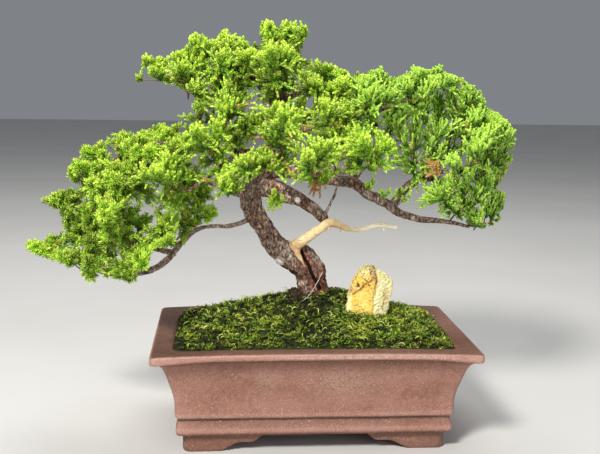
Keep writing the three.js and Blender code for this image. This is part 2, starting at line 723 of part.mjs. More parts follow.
// One body for a whole spray. A side twig grows out of a face of its parent stem, and every
// second face of a leafy stretch is drawn out into a leaf, so that the leaves stand in whorls of
// three. A leaf that would meet something is left out.
function sprayGeometry(lines, leaf, step, spray, random) {
  const corners = [];
  const stems = [];
  const middleOf = (face) => {
    const middle = new THREE.Vector3();
    face.forEach((corner) => middle.addScaledVector(corners[corner], 1 / 3));
    return middle;
  };
  const outOf = (face) => {
    const [a, b, c] = face.map((corner) => corners[corner]);
    return b.clone().sub(a).cross(c.clone().sub(a)).normalize();
  };
  lines.forEach((line, number) => {
    if (line.from === null) {
      const stem = stemRings(line, 0, step, null, null, corners);
      stem.faces.push({ face: [...stem.ring].reverse() });
      stems.push(stem);
      return;
    }
    const root = line.points[0];
    const way = line.points[2].clone().sub(root).normalize();
    const parent = stems[line.from].faces;
    let best = null;
    for (const candidate of parent) {
      if (!candidate.ahead) continue;
      const far = middleOf(candidate.face).distanceTo(root);
      const score = outOf(candidate.face).dot(way) - 0.12 * far;
      if (!best || score > best.score) best = { candidate, score };
    }
    const { candidate } = best;
    parent.splice(parent.indexOf(candidate), 1);
    const centre = middleOf(candidate.face);
    const startAngle = (frame) => {
      const toward = corners[candidate.face[0]].clone().sub(centre);
      return Math.atan2(toward.dot(frame.beside), toward.dot(frame.across));
    };
    const stem = stemRings(line, 0.16, step, candidate.face, startAngle, corners);
    candidate.face.forEach((corner, j) => {
      const next = (j + 1) % SIDES;
      stem.faces.push({ face: [corner, candidate.face[next], stem.ring[next]] });
      stem.faces.push({ face: [corner, stem.ring[next], stem.ring[j]] });
    });
    stems[number] = stem;
  });

  const faces = [];
  stems.forEach((stem, number) => {
    for (const { face, ahead, leaf: leafy } of stem.faces) {
      const length = leaf.length * (0.8 + 0.4 * random());
      const lean = leaf.lean * (0.85 + 0.3 * random());
      if (leafy) {
        const out = outOf(face).addScaledVector(ahead, -outOf(face).dot(ahead)).normalize();
        const way = out.multiplyScalar(Math.sin(lean)).addScaledVector(ahead, Math.cos(lean));
        const foot = middleOf(face);
        const tip = foot.clone().addScaledVector(way, length);
        const skip = (other) => other.spray === spray && other.line === number;
        if (room([foot, tip], 2, skip) > LEAF_RADIUS + CLEAR) {
          take([foot, tip], () => LEAF_RADIUS, spray, number);
          const top = corners.push(tip) - 1;
          face.forEach((corner, j) => faces.push(corner, face[(j + 1) % SIDES], top));
          continue;
        }
      }
      faces.push(...face);
    }
  });
  return indexed(corners, faces);
}

// ---------------------------------------------------------------- assembly

const finish = (color, roughness) =>
  new THREE.MeshStandardMaterial({ color, roughness, metalness: 0, flatShading: true });

const FINISH = {
  clay: finish(0xa57766, 0.75),
  plastic: finish(0x2a2d2b, 0.6),
  soil: finish(0x3b2c20, 1),
  moss: finish(0x57641f, 1),
  stone: finish(0xe6cf86, 0.9),
  bark: finish(0x5f5048, 0.95),
  deadWood: finish(0xd8c49a, 0.8),
  needles: finish(0x6f9a33, 0.7),
  cords: finish(0x679a38, 0.7),
};

const tree = new THREE.Group();

function addPiece(name, geometry, material) {
  const mesh = new THREE.Mesh(geometry, material);
  mesh.name = name;
  tree.add(mesh);
}

const wood = woodSolid(0);
const woodRoom = woodSolid(GAP);
const stone = solid(loft(stoneRings(0)));
const hole = woodRoom.add(solid(loft(stoneRings(GAP))));
const deadBranch = joined([
  solid(tube(DEAD_BRANCH, 7)),
  solid(tube(BARE_STRIP, 5)),
]);

addPiece("pot", buildPot(), FINISH.clay);
addPiece("drain_screen_left", buildScreen(-1), FINISH.plastic);
addPiece("drain_screen_right", buildScreen(1), FINISH.plastic);
addPiece("soil", buildSoil(hole), FINISH.soil);
addPiece("moss", buildMoss(hole), FINISH.moss);
addPiece("stone", geometryOf(stone), FINISH.stone);
addPiece("trunk_and_branches", geometryOf(mainBody(wood)), FINISH.bark);
addPiece("dead_branch", geometryOf(mainBody(deadBranch.subtract(woodRoom))), FINISH.deadWood);

for (const limb of [...Object.values(LIMBS), DEAD_BRANCH, BARE_STRIP]) {
  const points = limb.map(([x, y, z]) => new THREE.Vector3(x, y, z));
  take(points, (i) => Math.max(limb[i][3], limb[i + 1][3]), "wood", 0);
}

const LEAVES = {
  left: { leaf: NEEDLE, step: STEM.needleStep, lift: 0.15, material: FINISH.needles },
  top: { leaf: NEEDLE, step: STEM.needleStep, lift: 0.3, material: FINISH.needles },
  right: { leaf: CORD, step: STEM.cordStep, lift: 0.45, material: FINISH.cords },
};

const random = seeded(5);
const sprays = Object.entries(SPRAYS).flatMap(([side, list]) =>
  list.map((spray, i) => {
    const name = `${side}_spray_${String(i + 1).padStart(2, "0")}`;
    const lines = sprayLines(spray, LEAVES[side].lift, name, random);
    return { name, lines, ...LEAVES[side] };
  }),
);

for (const { name, lines, leaf, step, material } of sprays) {
  const body = solid(sprayGeometry(lines, leaf, step, name, random));
  addPiece(name, geometryOf(mainBody(body.subtract(woodRoom))), material);
}

// The origin is the middle of the box's underside.
const box = new THREE.Box3().setFromObject(tree);
const middle = box.getCenter(new THREE.Vector3());
tree.position.set(-middle.x, -middle.y, -box.min.z);

export default tree;
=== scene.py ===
# A juniper bonsai in an unglazed clay pot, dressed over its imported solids.
# Lengths in this file are millimetres and places are measured from the point 81 mm under the
# middle of the pot's rim, +X right, +Y back, +Z up. ORIGIN is that point in the frame, and
# mesh_object() turns millimetres into the frame's metres.

import itertools
import math

import bpy
import numpy as np
from mathutils import Matrix, Vector
from mathutils.bvhtree import BVHTree


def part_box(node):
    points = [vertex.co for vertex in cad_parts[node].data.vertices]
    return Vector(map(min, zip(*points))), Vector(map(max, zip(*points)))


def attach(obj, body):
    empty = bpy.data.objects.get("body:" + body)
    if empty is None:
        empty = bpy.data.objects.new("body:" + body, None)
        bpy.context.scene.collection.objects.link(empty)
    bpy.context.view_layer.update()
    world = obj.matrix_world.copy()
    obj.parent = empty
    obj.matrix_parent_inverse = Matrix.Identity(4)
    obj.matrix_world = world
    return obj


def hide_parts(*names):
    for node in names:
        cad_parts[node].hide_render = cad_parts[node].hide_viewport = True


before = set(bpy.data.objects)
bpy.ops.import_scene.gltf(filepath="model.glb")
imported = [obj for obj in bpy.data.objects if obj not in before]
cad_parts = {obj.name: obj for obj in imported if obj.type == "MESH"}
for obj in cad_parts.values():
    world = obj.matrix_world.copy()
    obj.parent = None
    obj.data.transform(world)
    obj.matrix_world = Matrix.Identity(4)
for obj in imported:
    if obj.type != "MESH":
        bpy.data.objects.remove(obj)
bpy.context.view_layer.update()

MM = 0.001
POT_LOW, POT_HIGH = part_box("pot")
POT_TOP = 81
ORIGIN = np.array([
    (POT_LOW.x + POT_HIGH.x) / 2 / MM, (POT_LOW.y + POT_HIGH.y) / 2 / MM,
    POT_HIGH.z / MM - POT_TOP,
])

# What each part's random numbers start from. The sprays count on from theirs.
SEEDS = {"moss": 3, "patches": 7, "stubs": 11, "sprays": 100}

# ---------------------------------------------------------------- sizes

POT_HALF = ((POT_HIGH.x - POT_LOW.x) / 2 / MM, (POT_HIGH.y - POT_LOW.y) / 2 / MM)
CORNER_DROOP = 2.2
LIP_RISE = 2.0  # the lip is lower along the middle of a side than at the corners
RIM_WIDTH = 16.5
POT_CORNER = 4.6
INNER_CORNER = 13
WALL_SLOPE = 11 / 62
FLOOR_TOP = 21
WALL_RINGS = (POT_TOP - 2.5, POT_TOP - 9, 60, 45, FLOOR_TOP + 4, FLOOR_TOP + 1)
FLOOR_EDGE = 1.5  # the wall turns into the floor over this width
UNEVEN = {"by": 0.18, "size": 24}  # the hand-made look of the clay's skin
DRAIN_RADIUS = 7.5
DRAIN_SPACING = 104
DRAIN_CUT = (4, 30)  # the heights that a hole is cut between
SHARP_EDGE = 38  # degrees: where the clay turns more than this, its edge is shown sharp
SIDE_STEPS = (10, 18)  # points along a short and a long side of a ring round the pot
CORNER_STEPS = 8

# Outside of the pot from its underside up: [inset from the rim's edge, height].
POT_PROFILE = [
    [22.0, 10.6], [20.4, 10.9], [19.4, 11.5], [18.9, 12.6], [18.7, 14.2], [18.7, 16.0],
    [19.0, 18.0], [19.6, 19.9], [20.3, 21.6], [20.8, 23.0], [20.9, 23.8], [20.6, 24.4],
    [19.5, 24.8], [18.6, 25.4], [18.1, 26.6], [18.0, 28.2], [17.95, 30.5], [18.0, 34.0],
    [17.7, 39.0], [16.9, 43.4], [15.8, 48.0], [14.5, 52.0], [13.1, 57.0], [11.6, 62.0],
    [10.1, 66.2], [8.7, 69.0], [7.0, 71.2], [5.0, 72.7], [3.0, 73.5], [1.4, 73.9],
    [0.5, 74.3], [0.1, 75.1], [0, 76.4], [0, 79.2], [0.3, 80.3], [1.0, 80.85], [2.2, 81.0],
]
# The skin starts under the pot and ends on its floor as a small outline of this half size and
# corner. Over the rim's inner edge it runs so far before the wall, and so far under the top.
SKIN_START = (30, 20, 5)
RIM_INNER_EDGE = [(2.4, 0), (1.0, 0.25), (0.2, 0.9)]
# Heights on the pot's outside: where the lip's lower edge starts and ends, the middle and the top
# of the lip, the groove between the two bands, and the bands.
LIP_EDGE = {"from": (70, 73.9), "to": (79, 75)}
LIP_MIDDLE, LIP_TOP = 77.6, 80.4
POT_GROOVE, POT_BANDS = 23.7, (27.2, 15.4)
FOOT = {"half": (103, 58), "thickness": 15, "sole": -3.4, "top": 11.4, "corner": 6, "edge": 1.5}
# Underside of a foot from its outside in: share of the thickness, height in soft edges.
FOOT_SECTION = [(0, 2), (0.02, 1), (0.055, 0.3), (0.13, 0), (0.9, 0), (0.97, 0.4), (1, 1.2)]
# Cloud curve of a foot, along X and along Y: where it leaves the table and where it ends. It
# rises over the first stretch, stays level, and rises more and more over the last.
CLOUD = [(75, 39.5), (35, 7)]
CLOUD_STEPS = {"first": (-1.5, 17.4), "rise": 6.9, "last": 10, "end": 7.9}

MOSS = {"edge": 79, "swell": 14, "rise": 15, "peak": (0, 16), "spread": (56, 44)}
# Heaps on the moss: middle, reach along X and Y, height.
HEAPS = [((5, -6), (15, 9), 7.5), ((26, 11), (11, 10), 6.5), ((-14, 3), (7, 8), 7.5)]

# Limbs of the tree as [x, y, z, radius], from inside the parent to the end.
LIMBS = {
    "trunk": [
        [5, 10, 58, 6], [5, 10, 72, 10.5], [4, 10, 88, 14], [4, 10, 99, 14.5], [3, 10, 108, 13],
        [1, 9, 118, 12], [-1, 8, 127, 12.2], [-9, 7, 136, 12.4], [-21, 6, 142.5, 10.8],
        [-30, 6, 150, 9.2], [-38, 6, 161, 8.4], [-45, 7, 174, 8.4], [-49, 8, 187, 8.6],
        [-47, 8, 198, 9.2], [-42, 7, 208, 7.6],
    ],
    "leader": [
        [-42, 7, 207, 7.2], [-36, 5, 222, 6], [-31, 3, 240, 5], [-27, 2, 258, 4],
        [-25, 2, 276, 3.2], [-24, 2, 294, 2.3],
    ],
    "arch": [
        [-46, 8, 197, 8], [-33, 6, 196.5, 8.2], [-19, 2, 191, 6.6], [-9, 1, 186.5, 5],
        [2, 1, 178.5, 4.6], [9, 3, 172, 4.2], [13, 5, 166, 3],
    ],
    "deadTwig": [[10, 3, 173, 1.7], [14, 0, 182, 1.3], [18, -2, 191, 1.1], [20, -3, 199, 0.8]],
    "lowLeft": [
        [-46, 8, 174, 3], [-55, 8, 168, 2], [-68, 4, 165, 1.8], [-85, 0, 165, 1.8],
        [-97, -4, 161, 2.2], [-106, -6, 152, 2.6], [-117, -8, 139, 2.8], [-128, -9, 132, 2.8],
        [-144, -8, 128, 2.6], [-160, -6, 127, 2.1], [-178, -3, 131, 1.7], [-196, 0, 139, 1.3],
    ],
    "lowLeftFront": [[-112, -7, 145, 2.2], [-122, -24, 150, 1.8], [-138, -38, 156, 1.2]],
    "midLeft": [
        [-49, 8, 190, 5], [-62, 10, 193, 3.6], [-80, 14, 200, 3.2], [-100, 16, 205, 2.8],
        [-124, 16, 206, 2.4], [-150, 12, 202, 2], [-176, 8, 196, 1.4],
    ],
    "midLeftBack": [[-100, 16, 205, 2.2], [-120, 38, 206, 1.8], [-146, 52, 202, 1.2]],
    "upLeft": [
        [-37, 5, 219, 4], [-58, -4, 226, 3], [-82, -12, 231, 2.5], [-108, -14, 233, 2],
        [-136, -12, 231, 1.5], [-156, -8, 228, 1.2],
    ],
    "armLeft": [
        [-32, 3, 237, 3.4], [-52, 8, 252, 2.7], [-76, 12, 268, 2.2], [-98, 12, 278, 1.7],
        [-116, 10, 284, 1.3],
    ],
    "topLeft": [[-27, 2, 258, 2.8], [-42, -3, 277, 2.3], [-58, -6, 294, 1.8], [-72, -8, 304, 1.3]],
    "topRight": [[-26, 2, 266, 2.5], [-8, 6, 275, 2.1], [12, 8, 281, 1.3]],
    "front": [[-38, 5, 216, 4], [-32, -18, 219, 2.7], [-22, -42, 218, 2.1], [-12, -62, 213, 1.4]],
    "frontLeft": [
        [-58, -4, 226, 2.6], [-70, -26, 219, 2.2], [-84, -44, 210, 1.8], [-98, -54, 200, 1.3],
    ],
    "frontRight": [[-8, 11, 207, 3], [10, -10, 211, 2.4], [22, -34, 213, 1.9], [30, -52, 211, 1.3]],
    "back": [[-35, 5, 226, 3.6], [-28, 32, 231, 2.6], [-18, 58, 235, 2], [-8, 78, 236, 1.3]],
    "backLeft": [
        [-36, 5, 222, 3.4], [-56, 32, 224, 2.4], [-82, 54, 225, 1.9], [-106, 68, 222, 1.3],
    ],
    "backRight": [[-2, 12, 206, 3.2], [18, 34, 214, 2.4], [42, 52, 222, 1.9], [64, 62, 228, 1.3]],
    "right": [
        [-42, 7, 208, 6], [-22, 10, 210, 5.6], [0, 12, 206, 5], [19, 12, 202, 4.6],
        [36, 10, 200, 4.3], [46, 8, 192, 4], [54, 6, 188.5, 3.9], [63, 5, 183.5, 3.7],
        [73, 4, 176.5, 3.3], [90, 2, 171.5, 2.7], [105, 2, 170, 2.3], [120, 2, 168, 1.8],
        [132, 3, 165, 1.3],
    ],
    "rightRise": [
        [66, 5, 181, 3.4], [71, 3, 188, 3.5], [76, 0, 197, 3.3], [87, -3, 206, 3],
        [98, -6, 217, 2.6], [107, -8, 233, 2.1], [114, -8, 250, 1.5],
    ],
    "rightInner": [
        [87, -3, 206, 2.4], [102, 3, 203.5, 2.3], [113, 9, 196, 2], [124, 12, 191, 1.7],
        [138, 14, 196, 1.3],
    ],
    "rightFront": [[88, -3, 207, 2.2], [98, -22, 212, 1.8], [110, -34, 215, 1.2]],
    "rightBack": [[98, -6, 217, 2.2], [108, 18, 226, 1.8], [122, 36, 232, 1.2]],
    "rightUp": [
        [-32, 3, 236, 3.6], [-12, -6, 244, 3], [12, -12, 250, 2.6], [38, -12, 256, 2.2],
        [62, -10, 265, 1.8], [80, -8, 274, 1.3],
    ],
}
ROOTS = {"count": 4, "reach": 40, "top": 86, "drop": 26, "radius": 5}
DEAD_BRANCH = [
    [-14, -1.5, 148.5, 4.9], [-11, -4.5, 151.5, 4.4], [-2.5, -8, 158.5, 4.0], [7, -10, 165.6, 3.7],
    [13.2, -10.5, 169.9, 3.6], [20.5, -11, 168.6, 2.7], [27, -12, 166, 2.2],
    [36.9, -12, 164.6, 1.9], [41.8, -12, 165, 1.9], [46.6, -13, 167.2, 1.8],
    [55.3, -14, 168.6, 1.75], [68, -15, 167, 1.5],
]
BARE_STRIP = [
    [-12.5, -3.6, 150, 3.4], [-12, -5.2, 144.5, 2.5], [-9.8, -6.0, 140.5, 1.9],
    [-7.6, -6.2, 137, 1.0], [-5.2, -5.8, 132.6, 0.5],
]


# ---------------------------------------------------------------- numbers


def joined(*parts):
    """Arrays (or numbers) side by side along a new last axis."""
    return np.stack(np.broadcast_arrays(*parts), axis=-1)


def turns(sides):
    """The angles of so many even steps round a circle."""
    return np.arange(sides) * 2 * np.pi / sides


def unit(vectors):
    return vectors / np.maximum(np.linalg.norm(vectors, axis=-1, keepdims=True), 1e-9)


def smooth(value, low, high):
    """0 below low, 1 above high, and a soft step between them."""
    t = np.clip((value - low) / (high - low), 0, 1)
    return t * t * (3 - 2 * t)


def within(value, middle, reach, core):
    """1 where a value is less than `core` from the middle, and 0 past `reach`."""
    return smooth(np.abs(value - middle), reach, core)


def spot(x, y, middle, reach):
    """A round patch that fades out: 1 at its middle."""
    return np.exp(-((x - middle[0]) / reach[0]) ** 2 - ((y - middle[1]) / reach[1]) ** 2)


# What scatters the cells of smooth noise: large odd numbers, and the word they are cut down to.
SCATTER = (374761393, 668265263, 1442695041)
STIR = (1274126177, 2246822519)
WORD = 0xFFFFFFFF


def scattered(cells):
    """A number from 0 to 1 for each row of three whole numbers."""
    n = sum(cells[..., axis] * odd for axis, odd in enumerate(SCATTER))
    n = (n & WORD) * STIR[0] & WORD
    n = (n ^ (n >> 15)) * STIR[1] & WORD
    return ((n ^ (n >> 13)) & 0xFFFF) / 0xFFFF


def lumps(points, size):
    """Smooth noise from -1 to 1 whose bumps are about `size` across."""
    place = points / size
    cells = np.floor(place).astype(np.int64)
    part = place - cells
    part = part * part * (3 - 2 * part)
    total = 0
    for corner in itertools.product((0, 1), repeat=3):
        weight = np.prod(np.where(corner, part, 1 - part), axis=-1)
        total = total + weight * scattered(cells + corner)
    return 2 * total - 1


def curve_through(rows, step):
    """Points about `step` apart on a curve through rows of numbers, place first."""
    rows = np.asarray(rows, float)
    padded = np.vstack([2 * rows[0] - rows[1], rows, 2 * rows[-1] - rows[-2]])
    stretches = []
    for a, b, c, d in zip(padded, padded[1:], padded[2:], padded[3:]):
        count = max(1, math.ceil(np.linalg.norm((c - b)[:3]) / step))
        t = np.arange(count)[:, None] / count
        bend = (2 * a - 5 * b + 4 * c - d) * t**2 + (3 * b - a - 3 * c + d) * t**3
        stretches.append((2 * b + (c - a) * t + bend) / 2)
    return np.vstack([*stretches, rows[-1:]])


def frames_along(points):
    """Unit vectors across and beside a path, carried along it without twist."""
    ahead = unit(np.gradient(points, axis=0))
    across = np.zeros_like(points)
    last = np.eye(3)[np.argmin(np.abs(points[-1] - points[0]))]
    for i, way in enumerate(ahead):
        last = unit(last - way * (last @ way))
        across[i] = last
    return across, np.cross(ahead, across)


# ---------------------------------------------------------------- meshes


class Body:
    """Points, faces and point layers of one or more closed shapes."""

    def __init__(self, points, faces, tint=(0, 0, 0), kind=0):
        self.points = np.asarray(points, float).reshape(-1, 3)
        self.faces = [np.asarray(f, np.int64) for f in faces]
        self.tint = np.broadcast_to(np.asarray(tint, float), (len(self.points), 3))
        self.kind = kind  # the material slot of its faces

    def tinted(self, *parts):
        """The same body with other values in its tint layer."""
        self.tint = joined(*parts, 0 * self.points[:, 0])[:, :3]
        return self


def mesh_object(name, bodies, looks, flat=()):
    """One object from several bodies. Faces of the kinds in `flat` aren't smoothed."""
    points = np.vstack([body.points for body in bodies])
    tints = np.vstack([body.tint for body in bodies])
    corners, sizes, kinds = [], [], []
    first = 0
    for body in bodies:
        for faces in body.faces:
            corners.append((faces + first).ravel())
            sizes.append(np.full(len(faces), faces.shape[1]))
            kinds.append(np.full(len(faces), body.kind))
        first += len(body.points)
    corners, sizes, kinds = (np.concatenate(part) for part in (corners, sizes, kinds))
    mesh = bpy.data.meshes.new(name)
    mesh.vertices.add(len(points))
    mesh.vertices.foreach_set("co", ((points + ORIGIN) * MM).ravel())
    mesh.loops.add(len(corners))
    mesh.loops.foreach_set("vertex_index", corners)
    mesh.polygons.add(len(sizes))
    mesh.polygons.foreach_set("loop_start", np.concatenate([[0], np.cumsum(sizes)[:-1]]))
    mesh.polygons.foreach_set("material_index", kinds)
    mesh.polygons.foreach_set("use_smooth", ~np.isin(kinds, flat))
    mesh.update(calc_edges=True)
    layer = mesh.color_attributes.new("tint", "FLOAT_COLOR", "POINT")
    layer.data.foreach_set("color", np.hstack([tints, np.ones((len(tints), 1))]).ravel())
    for look in looks:
        mesh.materials.append(look)
    return placed(name, mesh)


def placed(name, data):
    """A new object in the scene."""
    thing = bpy.data.objects.new(name, data)
    bpy.context.scene.collection.objects.link(thing)
    return thing


def stand_for(piece, slot, *nodes):
    """The piece rides on the tree's one body and replaces its nodes. slot is not used."""
    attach(piece, "root")
    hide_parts(*nodes)


def loft(rings, tint=(0, 0, 0), kind=0):
    """A closed body from rings of equally many points, each turning left about the way ahead."""
    rings = np.asarray(rings, float)
    count, sides = rings.shape[:2]
    k, j = np.meshgrid(np.arange(count - 1), np.arange(sides), indexing="ij")
    a, b = k * sides + j, k * sides + (j + 1) % sides
    walls = joined(a, b, b + sides, a + sides).reshape(-1, 4)
    near = np.arange(sides)
    far = near + (count - 1) * sides
    caps = [joined(np.roll(near, -1), near, count * sides),
            joined(far, np.roll(far, -1), count * sides + 1)]
    points = [rings.reshape(-1, 3), rings[0].mean(0), rings[-1].mean(0)]
    return Body(np.vstack(points), [walls, np.vstack(caps)], tint, kind)


def sweep(rows, sides, step, relief=None):
    """A round tube through [x, y, z, radius] rows. relief(turn, along, radius) adds to the
    radius, where turn is the angle round the tube and along the distance from its start."""
    path = curve_through(rows, step)
    centres, radius = path[:, :3], path[:, 3:]
    across, beside = frames_along(centres)
    turn = np.broadcast_to(turns(sides), (len(path), sides))
    gaps = np.linalg.norm(np.diff(centres, axis=0), axis=1)
    along = np.concatenate([[0], np.cumsum(gaps)])[:, None] + 0 * turn
    size = radius + 0 * turn
    if relief:
        size = size + relief(turn, along, size)
    spoke = across[:, None] * np.cos(turn)[..., None] + beside[:, None] * np.sin(turn)[..., None]
    return loft(centres[:, None] + spoke * size[..., None])


def on_skin(turn, along, radius, stretch):
    """Places for noise on a tube's skin, which is pulled out lengthwise by `stretch`."""
    return joined(np.cos(turn) * radius, np.sin(turn) * radius, along / stretch)


def outline(half_x, half_y, radius, height, steps=SIDE_STEPS):
    """A rectangle with round corners."""
    points = []
    for quarter, (sx, sy) in enumerate([(1, 1), (-1, 1), (-1, -1), (1, -1)]):
        angles = np.pi / 2 * (quarter + np.arange(CORNER_STEPS + 1) / CORNER_STEPS)
        x = sx * (half_x - radius) + radius * np.cos(angles)
        y = sy * (half_y - radius) + radius * np.sin(angles)
        points.append(joined(x, y))
    ring = []
    for quarter in range(4):
        start, end = points[quarter][-1], points[(quarter + 1) % 4][0]
        count = steps[(quarter + 1) % 2]
        share = np.arange(1, count)[:, None] / count
        ring += [points[quarter], start + (end - start) * share]
    ring = np.vstack(ring)
    return joined(ring[:, 0], ring[:, 1], float(height))


# ---------------------------------------------------------------- material tools


class Look:
    """A procedural material. Each method adds a node and gives back its output."""

    def __init__(self, name, roughness, specular):
        self.material = bpy.data.materials.new(name)
        self.material.use_nodes = True
        self.tree = self.material.node_tree
        self.shader = self.tree.nodes["Principled BSDF"]
        self.shader.inputs["Roughness"].default_value = roughness
        self.shader.inputs["Specular IOR Level"].default_value = specular
        self.place = self.add("ShaderNodeTexCoord").outputs["Object"]

    def add(self, kind, inputs=(), **settings):
        node = self.tree.nodes.new(kind)
        for key, value in settings.items():
            setattr(node, key, value)
        for socket, value in dict(inputs).items():
            self.put(node.inputs[socket], value)
        return node

    def put(self, socket, value):
        if isinstance(value, bpy.types.NodeSocket):
            self.tree.links.new(value, socket)
        else:
            socket.default_value = value

    def stretched(self, size):
        """The place, squeezed so that a pattern of size 1 is `size` millimetres: one number, or
        three for X, Y and Z."""
        sizes = size if isinstance(size, tuple) else (size,) * 3
        inputs = {"Vector": self.place, "Scale": tuple(1 / (part * MM) for part in sizes)}
        return self.add("ShaderNodeMapping", inputs).outputs["Vector"]

    def noise(self, size, detail=3, roughness=0.55, distortion=0.0):
        inputs = {"Vector": self.stretched(size), "Scale": 1.0, "Detail": detail,
                  "Roughness": roughness, "Distortion": distortion}
        return self.add("ShaderNodeTexNoise", inputs).outputs["Fac"]

    def cells(self, size, feature="F1"):
        inputs = {"Vector": self.stretched(size), "Scale": 1.0}
        return self.add("ShaderNodeTexVoronoi", inputs, feature=feature).outputs["Distance"]

    def ramp(self, value, *stops):
        """Colours (or plain numbers) along a value: each stop is (place, colour)."""
        node = self.add("ShaderNodeValToRGB", {"Fac": value})
        elements = node.color_ramp.elements
        for _ in range(len(stops) - 2):
            elements.new(0.5)
        for element, (place, colour) in zip(elements, stops):
            element.position = place
            shade = colour if isinstance(colour, tuple) else (colour,) * 3
            element.color = (*shade, 1)
        return node.outputs["Color"]

    def mask(self, noise, *stops):
        """A ramp over noise, which is given by what noise() takes."""
        return self.ramp(self.noise(*noise), *stops)

    def mix(self, share, first, second, mode="MIX"):
        node = self.add("ShaderNodeMix", data_type="RGBA", blend_type=mode)
        for index, value in ((0, share), (6, first), (7, second)):
            self.put(node.inputs[index], (*value, 1) if isinstance(value, tuple) else value)
        return node.outputs[2]

    def over(self, colour, *layers):
        """Lays colours over the first. Each layer is its share, its colour and maybe a mode."""
        for share, shade, *mode in layers:
            colour = self.mix(share, colour, shade, *mode)
        return colour

    def math(self, kind, first, second):
        return self.add("ShaderNodeMath", {0: first, 1: second}, operation=kind).outputs[0]

    def times(self, first, second):
        return self.math("MULTIPLY", first, second)

    def tint(self):
        """The three values of the mesh's tint layer."""
        colour = self.add("ShaderNodeAttribute", attribute_name="tint").outputs["Color"]
        return list(self.add("ShaderNodeSeparateColor", {"Color": colour}).outputs)

    def bump(self, value, depth, under=None):
        """Relief of `depth` millimetres; `under` is a normal to add it to."""
        inputs = {"Height": value, "Strength": 1.0, "Distance": depth * MM}
        if under is not None:
            inputs["Normal"] = under
        return self.add("ShaderNodeBump", inputs).outputs["Normal"]

    def finish(self, colour, normal=None, roughness=None):
        parts = {"Base Color": colour, "Normal": normal, "Roughness": roughness}
        for socket, value in parts.items():
            if value is not None:
                self.put(self.shader.inputs[socket], value)
        return self.material


# ---------------------------------------------------------------- camera, light and floor

# Where the photograph was taken from: place, turn to the right, tilt down and roll, in degrees.
CAMERA = {"place": np.array([-73.04, -776.67, 282.98]), "yaw": 4.68, "pitch": 8.62, "roll": 0.83}
FOCAL_PIXELS = 964.9
PICTURE = np.array([600, 454])
SENSOR = 36
# Soft square lights: place and width in metres, power and colour.
LIGHTS = {
    "key": ((-0.75, -1.35, 1.45), 0.4, 50, (1.0, 0.97, 0.92)),
    "fill": ((0.9, -1.6, 0.4), 1.2, 9, (0.95, 0.97, 1.0)),
    "top": ((0.1, 0.5, 1.7), 1.0, 15, (1.0, 0.99, 0.96)),
}
LIGHTS_AIM = Vector((0, 0, 0.17))
SKY = {"colour": (0.82, 0.86, 0.92, 1), "strength": 0.26}
FLOOR_HALF = 6  # metres


def camera_axes():
    """The ways ahead, to the right and up as the camera sees them."""
    yaw, pitch, roll = (math.radians(CAMERA[key]) for key in ("yaw", "pitch", "roll"))
    level = math.cos(pitch)
    ahead = np.array([math.sin(yaw) * level, math.cos(yaw) * level, -math.sin(pitch)])
    right = np.array([math.cos(yaw), -math.sin(yaw), 0])
    up = np.cross(right, ahead)
    return (ahead, right * math.cos(roll) + up * math.sin(roll),
            up * math.cos(roll) - right * math.sin(roll))


def in_picture(points):
    """Where points are in the photograph's frame, in pixels from its top left corner."""
    ahead, right, up = camera_axes()
    off = points - CAMERA["place"]
    scale = FOCAL_PIXELS / (off @ ahead)
    return joined(PICTURE[0] / 2 + scale * (off @ right), PICTURE[1] / 2 - scale * (off @ up))


def seen_at(pixel, beside):
    """The point that a pixel shows, as far from the camera as the point `beside`."""
    ahead, right, up = camera_axes()
    depth = (beside - CAMERA["place"]) @ ahead
    x, y = (pixel - PICTURE / 2) / FOCAL_PIXELS
    return CAMERA["place"] + (ahead + right * x - up * y) * depth


def make_camera():
    ahead, right, up = camera_axes()
    data = bpy.data.cameras.new("camera")
    data.sensor_fit = "HORIZONTAL"
    data.sensor_width = SENSOR
    data.lens = SENSOR * FOCAL_PIXELS / PICTURE[0]
    camera = placed("camera", data)
    turn = Matrix((right, up, -ahead)).transposed().to_4x4()
    camera.matrix_world = Matrix.Translation(Vector((CAMERA["place"] + ORIGIN) * MM)) @ turn
    bpy.context.scene.camera = camera


def make_surroundings():
    world = bpy.data.worlds.new("soft_room")
    world.use_nodes = True
    background = world.node_tree.nodes["Background"]
    background.inputs["Color"].default_value = SKY["colour"]
    background.inputs["Strength"].default_value = SKY["strength"]
    bpy.context.scene.world = world
    for name, (place, width, power, colour) in LIGHTS.items():
        data = bpy.data.lights.new(name, "AREA")
        data.size, data.energy, data.color = width, power, colour
        light = placed(name, data)
        light.location = place
        light.rotation_euler = (LIGHTS_AIM - light.location).to_track_quat("-Z", "Y").to_euler()
    look = Look("pale_floor", roughness=0.85, specular=0.2)
    shade = look.mask((240, 2), (0.3, (0.60, 0.595, 0.58)), (0.7, (0.64, 0.635, 0.62)))
    mesh = bpy.data.meshes.new("floor")
    corners = [(x * FLOOR_HALF, y * FLOOR_HALF, 0) for x, y in ((-1, -1), (1, -1), (1, 1), (-1, 1))]
    mesh.from_pydata(corners, [], [(0, 1, 2, 3)])
    mesh.materials.append(look.finish(shade))
    floor = placed("floor", mesh)


# ---------------------------------------------------------------- pot


def droop(points):
    """Lowers the rim towards the pot's ends, and lifts the lip's lower edge between corners."""
    x, y, z = points.T
    reach_x, reach_y = np.abs(x) / POT_HALF[0], np.abs(y) / POT_HALF[1]
    corner = smooth(reach_x, 0.66, 0.98) * smooth(reach_y, 0.5, 0.95)
    lower_edge = smooth(z, *LIP_EDGE["from"]) * smooth(z, *LIP_EDGE["to"])
    sunk = z - CORNER_DROOP * smooth(z, POT_TOP - 35, POT_TOP) * reach_x**3
    lift = LIP_RISE * lower_edge * (1 - corner) * (np.maximum(reach_x, reach_y) > 0.8)
    return joined(x, y, sunk + lift)


